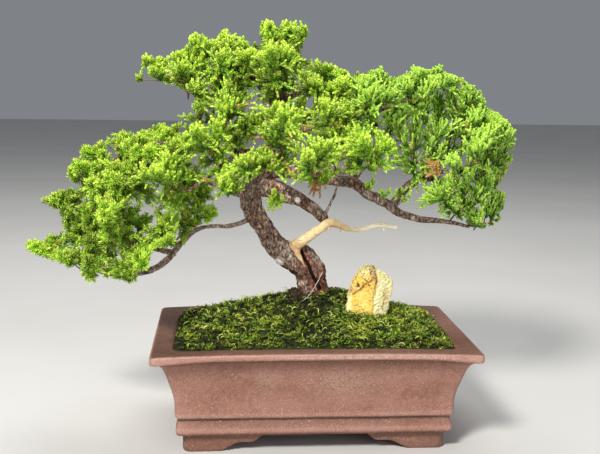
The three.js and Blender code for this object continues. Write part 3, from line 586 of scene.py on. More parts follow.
def ring_at(inset, corner, height, steps=SIDE_STEPS):
    """A ring so far in from the rim's edge."""
    return outline(POT_HALF[0] - inset, POT_HALF[1] - inset, corner, height, steps)


def inside(height, clearance=0.0, steps=SIDE_STEPS):
    """A ring on the pot's inner wall, or `clearance` in from it."""
    inset = RIM_WIDTH + (POT_TOP - height) * WALL_SLOPE + clearance
    return ring_at(inset, INNER_CORNER, height, steps)


def clay_tint(points):
    """Brown dirt and painted shade, a paler lip and corners with painted highlight on the ridges,
    and white salts on the pot, from the places on its skin.
    """
    x, y, z = points.T
    beside_x, beside_y = POT_HALF[0] - np.abs(x), POT_HALF[1] - np.abs(y)
    inset = np.minimum(beside_x, beside_y)
    corner = smooth(beside_x + beside_y - 2 * inset, 8, 1)
    front = smooth(y, -40, -50)
    top = smooth(z, 79.9, 80.9) * smooth(inset, 0.5, 1.6)
    lip = smooth(z, 74.6, 75.6) * smooth(inset, 1.4, 0.5)
    # Painted shade on the wall just under the lip.
    shade_under_lip = 0.8 * smooth(inset, 0.9, 2.2) * smooth(inset, 9.5, 4) * smooth(z, 67, 70)
    dirt_and_shade = top * (0.62 + 0.38 * smooth(-x, 70, 112) + 0.25 * smooth(inset, 9, 15))
    dirt_and_shade = dirt_and_shade + shade_under_lip * (1 - top)
    # Painted shade in the groove between the bands, on the lower band below it, and along the lower
    # band's bottom edge and all below it.
    dirt_and_shade = dirt_and_shade + within(z, POT_GROOVE, 2.4, 0.8) + smooth(z, 14, 12)
    dirt_and_shade = dirt_and_shade + 0.45 * smooth(z, 16.5, 20) * smooth(z, 25, 23)
    # Paler lip and corners, with painted highlight along the lip's upper edge and on the bands'
    # ridges.
    worn = lip * (0.5 + 0.6 * within(z, LIP_TOP, 0.9, 0.2))
    worn = worn + 0.55 * within(z, POT_BANDS[0], 3.2, 0.4) + 0.5 * within(z, POT_BANDS[1], 2.8, 0.4)
    worn = worn + corner * (0.35 + 0.4 * lip) * (1 - top)
    salt = lip * front * smooth(x, -45, -25) * smooth(x, 118, 90) * within(z, LIP_MIDDLE, 2.4, 0.8)
    dust = spot(x, z, (24, 55), (26, 13)) * 0.5 + spot(x, z, (-39, 57), (6, 7)) * 0.55
    return np.clip(joined(dirt_and_shade, worn, salt + front * dust * smooth(z, 73, 70)), 0, 1)


def pot_shell():
    """The pot's wall and floor, as one skin from the underside over the rim to the floor."""
    rings = [outline(*SKIN_START, POT_PROFILE[0][1])]
    rings += [ring_at(inset, POT_CORNER, height) for inset, height in POT_PROFILE]
    for before, drop in RIM_INNER_EDGE:
        rings.append(ring_at(RIM_WIDTH - before, INNER_CORNER - 0.8 * before, POT_TOP - drop))
    rings += [inside(height) for height in WALL_RINGS]
    rings += [inside(FLOOR_TOP, FLOOR_EDGE), outline(*SKIN_START, FLOOR_TOP)]
    skin = loft(rings)
    return Body(droop(skin.points), skin.faces, clay_tint(skin.points))


def cloud_height(reach, leaves, ends):
    """Height of a foot's lower edge, from where it leaves the table to its end."""
    low, first = CLOUD_STEPS["first"]
    shelf = ends + CLOUD_STEPS["last"]
    rise = CLOUD_STEPS["rise"] * smooth(leaves - reach, low, first)
    rise = rise - CLOUD_STEPS["rise"] * smooth(0, low, first)
    end = CLOUD_STEPS["end"] * np.clip((shelf - reach) / (shelf - ends), 0, 1) ** 1.5
    return FOOT["sole"] + rise + end


def foot(sign_x, sign_y):
    """One corner foot: a wall that runs round the pot's corner, with a cloud curve at each end."""
    half_x, half_y = FOOT["half"]
    corner, thick, top = FOOT["corner"], FOOT["thickness"], FOOT["top"]
    # Each row is a place on the outside, the height of the lower edge there and the way out.
    rows = [(x, half_y, cloud_height(x, *CLOUD[0]), 0, 1)
            for x in np.linspace(CLOUD[0][1], half_x - corner, 44)]
    for angle in np.linspace(0, np.pi / 2, 10)[1:-1]:
        out = np.array([math.sin(angle), math.cos(angle)])
        rows.append((*(np.array(FOOT["half"]) - corner + corner * out), FOOT["sole"], *out))
    rows += [(half_x, y, cloud_height(y, *CLOUD[1]), 1, 0)
             for y in np.linspace(half_y - corner, CLOUD[1][1], 34)]
    rings = []
    for x, y, low, *out in rows:
        low = min(low, top - 0.2)
        outer = np.array([x, y])
        inner = np.minimum(outer - thick * np.array(out), np.array(FOOT["half"]) - thick)
        soft = min(FOOT["edge"], (top - low) / 3)
        section = [(share, low + rise * soft) for share, rise in FOOT_SECTION]
        ring = [[*(outer + (inner - outer) * share), height]
                for share, height in [(0, top), *section, (1, top)]]
        rings.append(np.array(ring) * (sign_x, sign_y, 1))
    if sign_x * sign_y > 0:
        rings = [ring[::-1] for ring in rings]
    return loft(rings)


def drain_cutters():
    x, y = DRAIN_RADIUS * np.cos(turns(32)), DRAIN_RADIUS * np.sin(turns(32))
    cutters = [loft([joined(middle + x, y, z) for z in DRAIN_CUT])
               for middle in (-DRAIN_SPACING / 2, DRAIN_SPACING / 2)]
    return mesh_object("drain_cutters", cutters, [])


def cut_away(piece, cutter):
    """Cuts one object from another and deletes it."""
    cut = piece.modifiers.new("cut", "BOOLEAN")
    cut.operation, cut.solver, cut.object = "DIFFERENCE", "EXACT", cutter
    bpy.context.view_layer.update()
    shown = piece.evaluated_get(bpy.context.evaluated_depsgraph_get())
    result = bpy.data.meshes.new_from_object(shown)
    piece.modifiers.remove(cut)
    piece.data = result
    bpy.data.objects.remove(cutter)


def clay_look():
    look = Look("unglazed_clay", roughness=0.6, specular=0.35)
    # The tint holds dirt with painted shade, paler parts with painted highlight, and salts.
    dirt_and_shade, worn, salt = look.tint()
    mottle, grain = look.noise(3.4, 4, 0.65), look.noise(0.85, 2, 0.7)
    pale, deep = (0.4, 0.22, 0.17), (0.18, 0.08, 0.056)
    streaks = look.mask(((7, 7, 30), 4, 0.6), (0.35, 0.3), (0.55, 0.0))
    uneven_dirt_and_shade = look.mask(((30, 30, 9), 4, 0.65, 0.4), (0.3, 0.6), (0.62, 1.0))
    uneven_pale_and_highlight = look.mask(((9, 9, 3), 4, 0.6), (0.3, 0.35), (0.62, 0.85))
    crust = look.mask((1.3, 5, 0.75), (0.46, 0.0), (0.62, 0.8))
    specks = look.ramp(look.cells(2.6), (0.09, 1.0), (0.17, 0.0))
    patches = look.mask((30, 2), (0.5, 0.0), (0.66, 0.8))
    clay = look.mask(((48, 48, 20), 3), (0.34, (0.225, 0.1, 0.068)), (0.5, (0.29, 0.133, 0.092)),
                     (0.66, (0.315, 0.158, 0.125)))
    clay = look.over(
        clay, (streaks, deep), (look.ramp(mottle, (0.4, 0.0), (0.7, 0.5)), pale),
        # Dirt, and painted shade under the lip, in the groove and along the lower band.
        (look.times(dirt_and_shade, uneven_dirt_and_shade), (0.095, 0.042, 0.023)),
        # Paler lip and corners, and painted highlight on the lip's upper edge and on the bands'
        # ridges.
        (look.times(worn, uneven_pale_and_highlight), (0.52, 0.31, 0.255)),
        (look.ramp(grain, (0.36, 0.45), (0.5, 0.0)), deep),
        (look.ramp(grain, (0.56, 0.0), (0.72, 0.5)), (0.6, 0.4, 0.33)),
        (look.times(salt, crust), (0.68, 0.54, 0.45)),
        (look.times(specks, patches), (0.76, 0.64, 0.52)),
    )
    rough = look.mask((3.5, 3), (0.3, 0.5), (0.7, 0.72))
    return look.finish(clay, look.bump(mottle, 0.25, look.bump(grain, 0.12)), rough)


def build_pot():
    shell = pot_shell()
    feet = [foot(sx, sy) for sx in (-1, 1) for sy in (-1, 1)]
    for body in feet:
        # The feet are darkened by a fixed share of the pot's dirt and painted shade, without its
        # paler parts or salts.
        body.tint = np.array([0.1, 0, 0]) + clay_tint(body.points) * (0.5, 0, 0)
    for body in [shell] + feet:
        shift = UNEVEN["by"] * lumps(body.points, UNEVEN["size"])
        sole = body.points[:, 2] < FOOT["sole"] + 1
        body.points = body.points + joined(shift, shift, np.where(sole, 0, shift))
    look = clay_look()
    pot = mesh_object("clay_pot", [shell], [look])
    cut_away(pot, drain_cutters())
    for piece in (pot, mesh_object("pot_feet", feet, [look])):
        piece.data.set_sharp_from_angle(angle=math.radians(SHARP_EDGE))
        stand_for(piece, "pot_clay", "pot")


# ---------------------------------------------------------------- wood

# Marks on the bark are placed as the photo shows them, so depth counts for less.
SEEN_FROM_FRONT = (1, 0.3, 1)
# Pale cuts: place and radius.
WOUNDS = [((-27.5, -3, 135), 3.5), ((-12.0, -4.5, 187.6), 2.2)]
# The long crack below the dead branch.
CRACK = [
    [-8.6, -5, 147], [-7.2, -5, 142], [-4.6, -5, 137.5], [-1.9, -4.9, 133], [1.2, -4.5, 125],
    [5.4, -4.1, 118], [8, -3.6, 113],
]
CRACK_DEPTH = 4.0
# A dry blade of grass that leans on the trunk, as [x, y, z, radius].
STRAW = [[9, -7.5, 129, 0.2], [4, -10.5, 120, 0.25], [-2, -12.5, 111, 0.25], [-8, -14.5, 106, 0.15]]
# Broken-off spurs on the dead branch, from foot to end, and their radius at both.
SPURS = [
    ([21.5, -12, 167], [22.5, -13.5, 163]), ([12.5, -12, 167.5], [12.8, -14, 164]),
    ([55.8, -14, 170], [55.4, -14.5, 173.6]), ([57, -14.5, 167], [57, -15.5, 163.4]),
    ([-16.5, -5, 151.5], [-20, -9, 156.5]),
]
SPUR_RADII = (0.8, 0.35)


# How deep the bark's ridges are, and how far apart the limbs' noise is read.
BARK_DEPTH = {"trunk": 1.7, "limb": 1.1}
LIMBS_APART = 17.3
# How grey the bark of the weathered limbs is.
WEATHERED = {"deadTwig": 1.0, "lowLeft": 0.6}


def bark_relief(depth, seed):
    """Flaky ridges that run along a limb, with knobs and pits."""
    def relief(turn, along, radius):
        ring = on_skin(turn, along, radius, 3) + seed * LIMBS_APART
        ridges = 1 - np.abs(lumps(ring, 2.6)) * 2
        plates = lumps(ring * (1, 1, 0.8), 5.5)
        crumbs = lumps(ring * (1, 1, 2.4), 1.3)
        pits = np.maximum(0, lumps(ring * (1, 1, 1.6) + 9, 2.6) - 0.25)
        scale = np.minimum(1, radius / 7) ** 0.8
        lobes = 0.05 * radius * np.sin(3 * turn + along / 14)
        shape = 0.6 * ridges - 0.3 + 0.9 * plates + 0.5 * crumbs - 1.7 * pits
        return depth * scale * shape + lobes
    return relief


def bark_look():
    look = Look("juniper_bark", roughness=0.85, specular=0.2)
    wound, split, grey = look.tint()
    fibre = look.noise((1.9, 1.9, 4.5), 5, 0.72, 0.5)
    colour = look.ramp(fibre, (0.33, (0.03, 0.018, 0.014)), (0.42, (0.17, 0.11, 0.08)),
                       (0.53, (0.5, 0.345, 0.26)), (0.63, (0.92, 0.74, 0.6)))
    worn = look.mask(((5, 5, 9), 4, 0.65), (0.36, (0.3, 0.27, 0.25)), (0.6, 1.0))
    rust = look.mask((15, 3), (0.46, 0.0), (0.64, 0.65))
    knobs = look.mask((2.6, 4, 0.75), (0.47, 0.0), (0.58, 0.9))
    lichen = look.math("MAXIMUM", grey, look.mask((26, 2), (0.5, 0.0), (0.66, 0.5)))
    plates = look.cells((3.4, 3.4, 6), "DISTANCE_TO_EDGE")
    gaps = look.times(look.ramp(plates, (0.02, 0.8), (0.16, 0.0)),
                      look.mask((6, 3), (0.4, 0.2), (0.6, 1.0)))
    colour = look.over(
        colour, (0.85, worn, "MULTIPLY"), (rust, (0.24, 0.1, 0.065), "OVERLAY"),
        (look.ramp(split, (0.1, 0.0), (0.4, 0.8)), (0.3, 0.1, 0.055), "OVERLAY"),
        (look.times(lichen, knobs), (0.53, 0.48, 0.42)), (gaps, (0.02, 0.012, 0.01)),
        (look.ramp(split, (0.55, 0.0), (0.8, 1.0)), (0.012, 0.005, 0.004)),
        (wound, (1.0, 0.97, 0.9)),
    )
    fine = look.bump(look.noise((1.0, 1.0, 2.4), 5, 0.75), 0.6)
    return look.finish(colour, look.bump(plates, 0.6, fine))


def stubs(rng, count=230):
    """Broken twigs and peeling flakes that stand off the limbs."""
    bodies = []
    names = [name for name in LIMBS if name != "deadTwig"]
    for _ in range(count):
        limb = curve_through(LIMBS[names[rng.integers(len(names))]], 2)
        *place, radius = limb[rng.integers(2, len(limb) - 1)]
        turn, tilt = rng.uniform(0, 2 * np.pi), rng.uniform(-0.5, 0.9)
        way = unit(np.array([math.cos(turn), math.sin(turn), tilt]))
        length = rng.uniform(1.2, 4.2)
        start = place + way * radius * 0.8
        bend = way + rng.normal(0, 0.35, 3)
        thick = rng.uniform(0.35, 0.85)
        rows = [[*start, thick], [*(start + way * length * 0.5), thick * 0.8],
                [*(start + (way + bend) * length * 0.5), thick * 0.45]]
        bodies.append(sweep(rows, 5, 1.2))
    return bodies


def root_limbs():
    start = LIMBS["trunk"][2]
    for i in range(ROOTS["count"]):
        angle = 2 * math.pi * (i + 0.4) / ROOTS["count"]
        limb = []
        for share, width in ((0.05, 1), (0.45, 0.7), (1, 0.25)):
            x = start[0] + ROOTS["reach"] * share * math.cos(angle) * 1.5
            y = start[1] + ROOTS["reach"] * share * math.sin(angle)
            limb.append([x, y, ROOTS["top"] - ROOTS["drop"] * share, ROOTS["radius"] * width])
        yield limb


def build_wood():
    bodies = []
    for seed, (name, limb) in enumerate(LIMBS.items()):
        if name == "trunk":
            body = sweep(limb, 84, 1.0, bark_relief(BARK_DEPTH["trunk"], seed))
        else:
            sides = 32 if max(row[3] for row in limb) > 5 else 14
            body = sweep(limb, sides, 1.2, bark_relief(BARK_DEPTH["limb"], seed))
        bodies.append(body.tinted(0, 0, WEATHERED.get(name, 0.0)))
    trunk = bodies[0]
    crack = curve_through(CRACK, 1)
    away = (trunk.points[:, None] - crack[None]) * SEEN_FROM_FRONT
    near = np.linalg.norm(away, axis=-1).min(axis=1)
    x, _, z = trunk.points.T
    red = 0.4 * smooth(z, 141, 128) * (0.6 + 0.4 * lumps(trunk.points, 9))
    split = np.maximum(smooth(near, 2.1, 1.0), np.maximum(red, 0.45 * smooth(near, 7, 4)))
    trunk.tinted(0, split, spot(x, z, (-21, 146), (8, 9)))
    trunk.points = trunk.points + smooth(near, 2.4, 0.8)[:, None] * (0, CRACK_DEPTH, 0)
    for body in bodies:
        for place, radius in WOUNDS:
            far = np.linalg.norm((body.points - np.array(place)) * SEEN_FROM_FRONT, axis=1)
            body.tint[:, 0] = np.maximum(body.tint[:, 0], smooth(far, radius * 1.25, radius * 0.8))
    bodies += [sweep(limb, 10, 3) for limb in root_limbs()]
    bodies += stubs(np.random.default_rng(SEEDS["stubs"]))
    bodies.append(sweep(STRAW, 5, 1.5).tinted(0.6, 0, 0))
    wood = mesh_object("bark_and_branches", bodies, [bark_look()])
    stand_for(wood, "bark", "trunk_and_branches")


def dead_wood_look():
    look = Look("bleached_wood", roughness=0.62, specular=0.3)
    stain, pale, _ = look.tint()
    colour = look.mask(
        ((3.5, 3.5, 1.1), 5, 0.65, 0.8), (0.3, (0.5, 0.31, 0.12)), (0.45, (0.72, 0.53, 0.26)),
        (0.62, (0.87, 0.74, 0.47)), (0.8, (0.93, 0.85, 0.64)),
    )
    shade = look.times(stain, look.mask((4, 4, 0.7), (0.3, 0.35), (0.7, 1.0)))
    knots = look.mask((1.3, 3), (0.66, 0.0), (0.74, 0.55))
    colour = look.over(colour, (pale, (1.0, 0.94, 0.74)), (shade, (0.46, 0.2, 0.09)),
                       (knots, (0.28, 0.15, 0.07)))
    return look.finish(colour, look.bump(look.noise((2.4, 2.4, 0.7), 4, 0.7), 0.3))


def dead_wood_grain(turn, along, radius):
    ring = on_skin(turn, along, radius, 9)
    return 0.28 * lumps(ring, 1.5) + 0.35 * np.minimum(1, radius / 4) * lumps(ring, 4)


def build_dead_branch():
    bodies = [sweep(rows, sides, 0.8, dead_wood_grain)
              for rows, sides in ((DEAD_BRANCH, 28), (BARE_STRIP, 22))]
    for ends in SPURS:
        bodies.append(sweep([[*end, radius] for end, radius in zip(ends, SPUR_RADII)], 8, 1.2))
    for body in bodies:
        x, _, z = body.points.T
        elbow = smooth(np.hypot(x - 19, z - 168), 11, 3) * 0.65
        base = smooth(np.hypot(x + 11, z - 147), 10, 3) * 0.75
        stain = np.clip(elbow + base + smooth(z, 140, 135), 0, 1)
        body.tinted(stain, 0.7 * smooth(x, 26, 44), 0)
    piece = mesh_object("stripped_branch", bodies, [dead_wood_look()])
    stand_for(piece, "dead_wood", "dead_branch")


# ---------------------------------------------------------------- stone

STONE_MIDDLE = np.array([47.0, -9.0, 108.8])
# Faces of the stone: the way each one faces, and how far it lies from the middle.
STONE_FACES = [
    ((-0.30, -0.95, 0.06), 9.6), ((0.42, -0.90, 0.05), 10.4), ((0.96, 0.10, -0.22), 18.2),
    ((0.62, -0.05, 0.78), 23.2), ((-0.04, 0.05, 1.0), 25.2), ((-0.80, -0.10, 0.58), 18.6),
    ((-0.97, 0.05, 0.22), 16.2), ((0.25, 0.97, 0.08), 10.6), ((-0.65, 0.75, 0.10), 13.5),
    ((0.0, 0.0, -1.0), 24.5), ((-0.9, -0.35, -0.25), 25.0),
]
# The edge between the stone's front and its cream side: heights, and their places in X.
CREASE = ((96, 110, 118, 124, 137), (50.0, 50.0, 51.5, 53.0, 50))
# A pinkish lump by the stone's left foot has the same faces: its middle and scale.
PINK_LUMP = (np.array([31.8, -11.0, 111.5]), 0.16)


def stone_blob(middle, levels, sides, hardness, scale=1.0):
    """A rock cut by planes: a fine ball whose radius is the least distance to a plane, softened."""
    ways = unit(np.array([way for way, _ in STONE_FACES]))
    far = np.array([distance for _, distance in STONE_FACES]) * scale
    polar = np.linspace(0.02, np.pi - 0.02, levels)[::-1, None]
    turn = turns(sides)
    spokes = joined(np.sin(polar) * np.cos(turn), np.sin(polar) * np.sin(turn), np.cos(polar))
    facing = np.maximum(spokes @ ways.T, 0) / far
    radius = (facing**hardness).sum(-1) ** (-1 / hardness)
    points = middle + spokes * radius[..., None]
    rough = 1.1 * lumps(points, 7.5) + 0.8 * lumps(points, 3.2) + 0.45 * lumps(points, 1.3)
    pits = np.maximum(0, lumps(points + 31, 2.6) - 0.35) * 2.6
    return loft(points + spokes * (rough * 0.9 - pits)[..., None] * scale**0.5)


def stone_look():
    look = Look("ochre_stone", roughness=0.85, specular=0.2)
    cream_side, vein, pitted = look.tint()
    broad = look.noise(6, 4, 0.65)
    ochre = look.ramp(broad, (0.3, (0.7, 0.38, 0.08)), (0.46, (0.9, 0.62, 0.12)),
                      (0.66, (0.96, 0.79, 0.28)))
    cream = look.ramp(broad, (0.3, (0.84, 0.68, 0.28)), (0.48, (0.99, 0.93, 0.46)),
                      (0.7, (1.0, 0.98, 0.66)))
    blush = look.mask((9, 3), (0.55, 0.0), (0.7, 0.45))
    brown = look.times(vein, look.mask((2.2, 4, 0.75), (0.34, 0.35), (0.56, 1.0)))
    holes = look.times(look.mask((1.9, 4, 0.65), (0.53, 0.0), (0.6, 0.9)),
                       look.math("ADD", pitted, 0.2))
    colour = look.over(ochre, (cream_side, cream), (blush, (0.62, 0.27, 0.13)),
                       (brown, (0.22, 0.07, 0.035)), (holes, (0.09, 0.04, 0.015)))
    fine = look.bump(look.noise(0.8, 4, 0.7), 0.45)
    return look.finish(colour, look.bump(look.noise(2.6, 4, 0.65), 0.9, fine))


def stone_tint(points):
    """The cream side and top, the brown veins and the pitted parts of the stone."""
    x, y, z = points.T
    crease = np.interp(z, *CREASE)
    front = smooth(y, -6, -12)
    side = smooth(x - crease, -1.0, 1.2) * smooth(y, 6, -4)
    cream = side + smooth(z, 124, 131) * 0.7 + smooth(x, 33.5, 31) * 0.8
    vein = within(x, crease - 0.8, 1.5, 0.4) * (0.3 + 0.7 * smooth(z, 114, 122)) * front
    wander = 0.9 * lumps(points, 4)
    seam = smooth(np.abs((z - 118) - 0.8 * (x - 41) + wander), 1.6, 0.4) * smooth(x, 31, 34) * front
    edge = smooth(z, 119, 128) * within(x, crease - 3, 4, 1) * front * 0.7
    vein = np.maximum(np.maximum(vein, seam * smooth(x, 53, 50)), edge)
    pitted = smooth(z, 112, 119) * smooth(x, 52, 46) * front
    pitted = np.maximum(pitted, within(x, crease + 9, 3, 1) * front * 0.6)
    return np.clip(cream, 0, 1), vein, pitted


def build_stone():
    rock = stone_blob(STONE_MIDDLE, 120, 160, 16)
    middle, scale = PINK_LUMP
    lump = stone_blob(middle, 40, 48, 9, scale)
    x, _, z = rock.points.T
    notch = within(x, 43.2, 1.8, 0.3) + 0.6 * smooth(x, 51, 53.5)
    rock.points[:, 2] -= 2.0 * notch * smooth(z, 126, 131)
    for body, pink in ((rock, 0), (lump, 0.55)):
        cream, vein, pitted = stone_tint(body.points)
        body.tinted(cream, np.clip(vein + pink, 0, 1), pitted)
    piece = mesh_object("upright_stone", [rock, lump], [stone_look()])
    stand_for(piece, "stone", "stone")


# ---------------------------------------------------------------- moss

TUFTS_APART = 2.85
TUFT_LEAVES = 10
TUFTS_END = 2.4  # so far before the pot's wall
# The sheet under the tufts: how far it lies from the wall, how far its top lies under the moss's
# height and its underside under the moss's edge, and how finely it is divided.
SHEET = {"gap": 0.4, "below": 1.8, "under": 7, "steps": (60, 100), "rings": 60, "middle": 0.02}
# Where the trunk and the stone rise out of the moss.
TRUNK_FOOT, STONE_FOOT = (4, 10), (46, -9)
# Corners of each face of a leaf: foot, two shoulders and tip.
BLADE = np.array([[0, 1, 2], [0, 3, 1], [0, 2, 3], [1, 3, 2]])
SHOULDER, KEEL = 0.42, 0.3  # how far along a leaf its shoulders are, and how deep it is folded


def moss_top(x, y):
    u = np.abs(x) / (POT_HALF[0] - RIM_WIDTH)
    v = np.abs(y) / (POT_HALF[1] - RIM_WIDTH)
    cushion = np.maximum(0, 1 - u**8) * np.maximum(0, 1 - v**3)
    height = MOSS["edge"] + MOSS["swell"] * cushion
    for middle, reach, rise in [(MOSS["peak"], MOSS["spread"], MOSS["rise"]), *HEAPS]:
        height = height + rise * spot(x, y, middle, reach)
    return height


def moss_height(x, y):
    """The moss cushion with its tufty lumps, which die out at the pot's wall."""
    flat = joined(x, y, 0)
    height = moss_top(x, y)
    calm = np.clip((height - MOSS["edge"]) / 5, 0.1, 1)
    return height + calm * (1.6 * lumps(flat, 13) + 1.2 * lumps(flat + 50, 5.5) - 0.4)


def blades(foot, way, side, length, width, curl, tint):
    """Slim closed leaves with four corners: foot, two shoulders and tip. curl bends the tip."""
    out = np.cross(way, side)
    length, width = length[:, None], width[:, None]
    shoulder = foot + way * length * SHOULDER - out * width * KEEL
    tip = foot + (way - out * curl) * length
    corners = [foot, shoulder + side * width / 2, shoulder - side * width / 2, tip]
    faces = (np.arange(len(foot)) * 4)[:, None, None] + BLADE
    return Body(np.stack(corners, axis=1), [faces.reshape(-1, 3)], tint.reshape(-1, 3))


def moss_look():
    look = Look("living_moss", roughness=0.7, specular=0.25)
    tone, tip, dry = look.tint()
    green = look.mask((17, 3, 0.6), (0.32, (0.045, 0.13, 0.008)), (0.47, (0.12, 0.23, 0.01)),
                      (0.6, (0.25, 0.34, 0.014)), (0.72, (0.4, 0.45, 0.025)))
    # Leaf tips turn pale; the palest, near white, are painted highlight, and they fade where the
    # tone is dark.
    light = look.mix(look.mask((8, 3), (0.4, 0.0), (0.6, 1.0)), (0.5, 0.74, 0.05), (1.0, 1.0, 0.25))
    tips = look.times(tip, look.math("SUBTRACT", 1.0, tone))
    # The tone darkens the moss to near black: painted shade in the hollows, on the left, by the
    # trunk's foot and on the sheet under the tufts, with patchy tone.
    green = look.over(green, (look.times(tone, 0.96), (0.008, 0.016, 0.005)), (tips, light),
                      (dry, (0.07, 0.045, 0.022)))
    return look.finish(green, look.bump(look.noise(0.8, 3), 0.3))


def moss_bed():
    """The sheet under the tufts, in the moss's darkest colour as painted shade between them."""
    x, y, _ = inside(MOSS["edge"], SHEET["gap"], SHEET["steps"]).T
    low = MOSS["edge"] - SHEET["under"]
    rings = [joined(x * share, y * share, low) for share in (SHEET["middle"], 0.5, 1)]
    for share in np.linspace(1, SHEET["middle"], SHEET["rings"]):
        top = moss_height(x * share, y * share) - SHEET["below"]
        rings.append(joined(x * share, y * share, top))
    return loft(rings, (1.0, 0.0, 0.2))


def is_clear(x, y, trunk, stone):
    """Whether places are farther than `trunk` from the trunk's foot and outside a rectangle of
    the half size `stone` round the stone's."""
    by_stone = (np.abs(x - STONE_FOOT[0]) < stone[0]) & (np.abs(y - STONE_FOOT[1]) < stone[1])
    return ~by_stone & (np.hypot(x - TRUNK_FOOT[0], y - TRUNK_FOOT[1]) > trunk)


def moss_tufts(rng):
    """Close-set rosettes of curled leaves, as what blades() takes. Those in the hollows lie
    deeper and get painted shade, as do those on the left and by the trunk's foot."""
    half_x, half_y = (half - RIM_WIDTH - TUFTS_END for half in POT_HALF)
    x, y = np.meshgrid(np.arange(-half_x, half_x, TUFTS_APART),
                       np.arange(-half_y, half_y, TUFTS_APART))
    x = x.ravel() + rng.uniform(-0.5, 0.5, x.size) * TUFTS_APART
    y = y.ravel() + rng.uniform(-0.5, 0.5, y.size) * TUFTS_APART
    corner_x = np.maximum(np.abs(x) - half_x + INNER_CORNER, 0)
    corner_y = np.maximum(np.abs(y) - half_y + INNER_CORNER, 0)
    keep = np.hypot(corner_x, corner_y) < INNER_CORNER
    keep &= is_clear(x, y, 11, (14, 8))
    x, y = x[keep], y[keep]
    count = len(x)
    flat_places = joined(x, y, 0)
    wall = smooth(np.minimum(half_x - np.abs(x), half_y - np.abs(y)), 0, 7)
    size = rng.uniform(0.7, 1.3, count) * (0.72 + 0.28 * wall) * (1 + 0.22 * smooth(x, 10, 60))
    depth = rng.uniform(0, 1, count) ** 1.3
    # Painted shade: deeper tufts, the moss on the left and the heap by the trunk's foot (the spot
    # below) are darker; the lumps add patchy tone.
    shade = 0.3 + 1.05 * depth + 0.8 * lumps(flat_places, 7) - 0.46 * smooth(x, -70, 60)
    shade = shade + 0.5 * spot(x, y, (12, -4), (24, 13))
    tone = np.clip(shade + rng.normal(0, 0.12, count), 0, 1)
    # Litter shows between the tufts in small brown places and in a heap by the trunk.
    brown = lumps(flat_places + (0, 0, 90), 15) + rng.normal(0, 0.2, count) > 0.74
    heap = (x + 13) ** 2 + (y - 3) ** 2
    by_trunk = np.exp(-heap / 75) > rng.uniform(0.1, 0.9, count)
    dry = np.where(brown | by_trunk, rng.uniform(0.6, 1, count), 0)
    tone = np.maximum(tone, by_trunk * rng.uniform(0.6, 1, count))
    middle = joined(x, y, moss_height(x, y) - 1.0 - 1.5 * depth)
    step = 1.5
    fall_x = (moss_height(x + step, y) - moss_height(x - step, y)) / (2 * step)
    fall_y = (moss_height(x, y + step) - moss_height(x, y - step)) / (2 * step)
    # From here on there is one row for each leaf.
    up, middle, size, tone, dry = (
        np.repeat(part, TUFT_LEAVES, 0)
        for part in (unit(joined(-fall_x, -fall_y, 1)), middle, size, tone, dry)
    )
    count = len(size)
    turn = rng.uniform(0, 2 * np.pi, count)
    lean = rng.uniform(0.1, 1.35, count)[:, None]
    flat = joined(np.cos(turn), np.sin(turn), 0)
    way = unit(up * np.cos(lean) + flat * np.sin(lean))
    side = unit(np.cross(way, up + 0.01))
    foot = middle + flat * rng.uniform(0, 1.0, (count, 1))
    length = size * rng.uniform(1.7, 3.4, count)
    width = size * rng.uniform(0.75, 1.35, count)
    curl = rng.uniform(-0.6, 0.6, (count, 1))
    bright = np.minimum(1, 1.5 * rng.uniform(0, 1, count) ** 2)[:, None]
    tone = np.where([True, False, False, False], 1, tone[:, None])
    tint = joined(tone, bright * (0, 0.4, 0.4, 1), dry[:, None])
    return foot, way, side, length, width, curl, tint


def moss_at(x, y):
    """The moss's height at one place."""
    return moss_height(np.array([x]), np.array([y]))[0]


def sprigs(rng, count=380):
    """Longer curly shoots that stand out of the moss."""
    bodies = []
    for _ in range(count):
        x = rng.uniform(-POT_HALF[0] + 22, POT_HALF[0] - 22)
        y = rng.uniform(-POT_HALF[1] + 20, POT_HALF[1] - 20)
        if not is_clear(x, y, 17, (18, 12)):
            continue
        start = np.array([x, y, moss_at(x, y) - 0.6])
        turn, reach = rng.uniform(0, 2 * np.pi), rng.uniform(2.0, 4.8)
        lean = np.array([math.cos(turn), math.sin(turn), 0])
        curl = np.array([-lean[1], lean[0], 0]) * rng.uniform(-1, 1)
        rows = [
            [*start, 0.36], [*(start + lean * 0.25 * reach + (0, 0, 0.55 * reach)), 0.33],
            [*(start + (lean + 0.4 * curl) * 0.7 * reach + (0, 0, 0.8 * reach)), 0.27],
            [*(start + (lean + curl) * reach + (0, 0, 0.72 * reach)), 0.12],
        ]
        body = sweep(rows, 4, 0.9)
        tone, dry = rng.uniform(0, 0.5), float(rng.random() < 0.1) * 0.6
        bodies.append(body.tinted(tone, smooth(body.points[:, 2] - start[2], 0, reach * 0.8), dry))
    return bodies


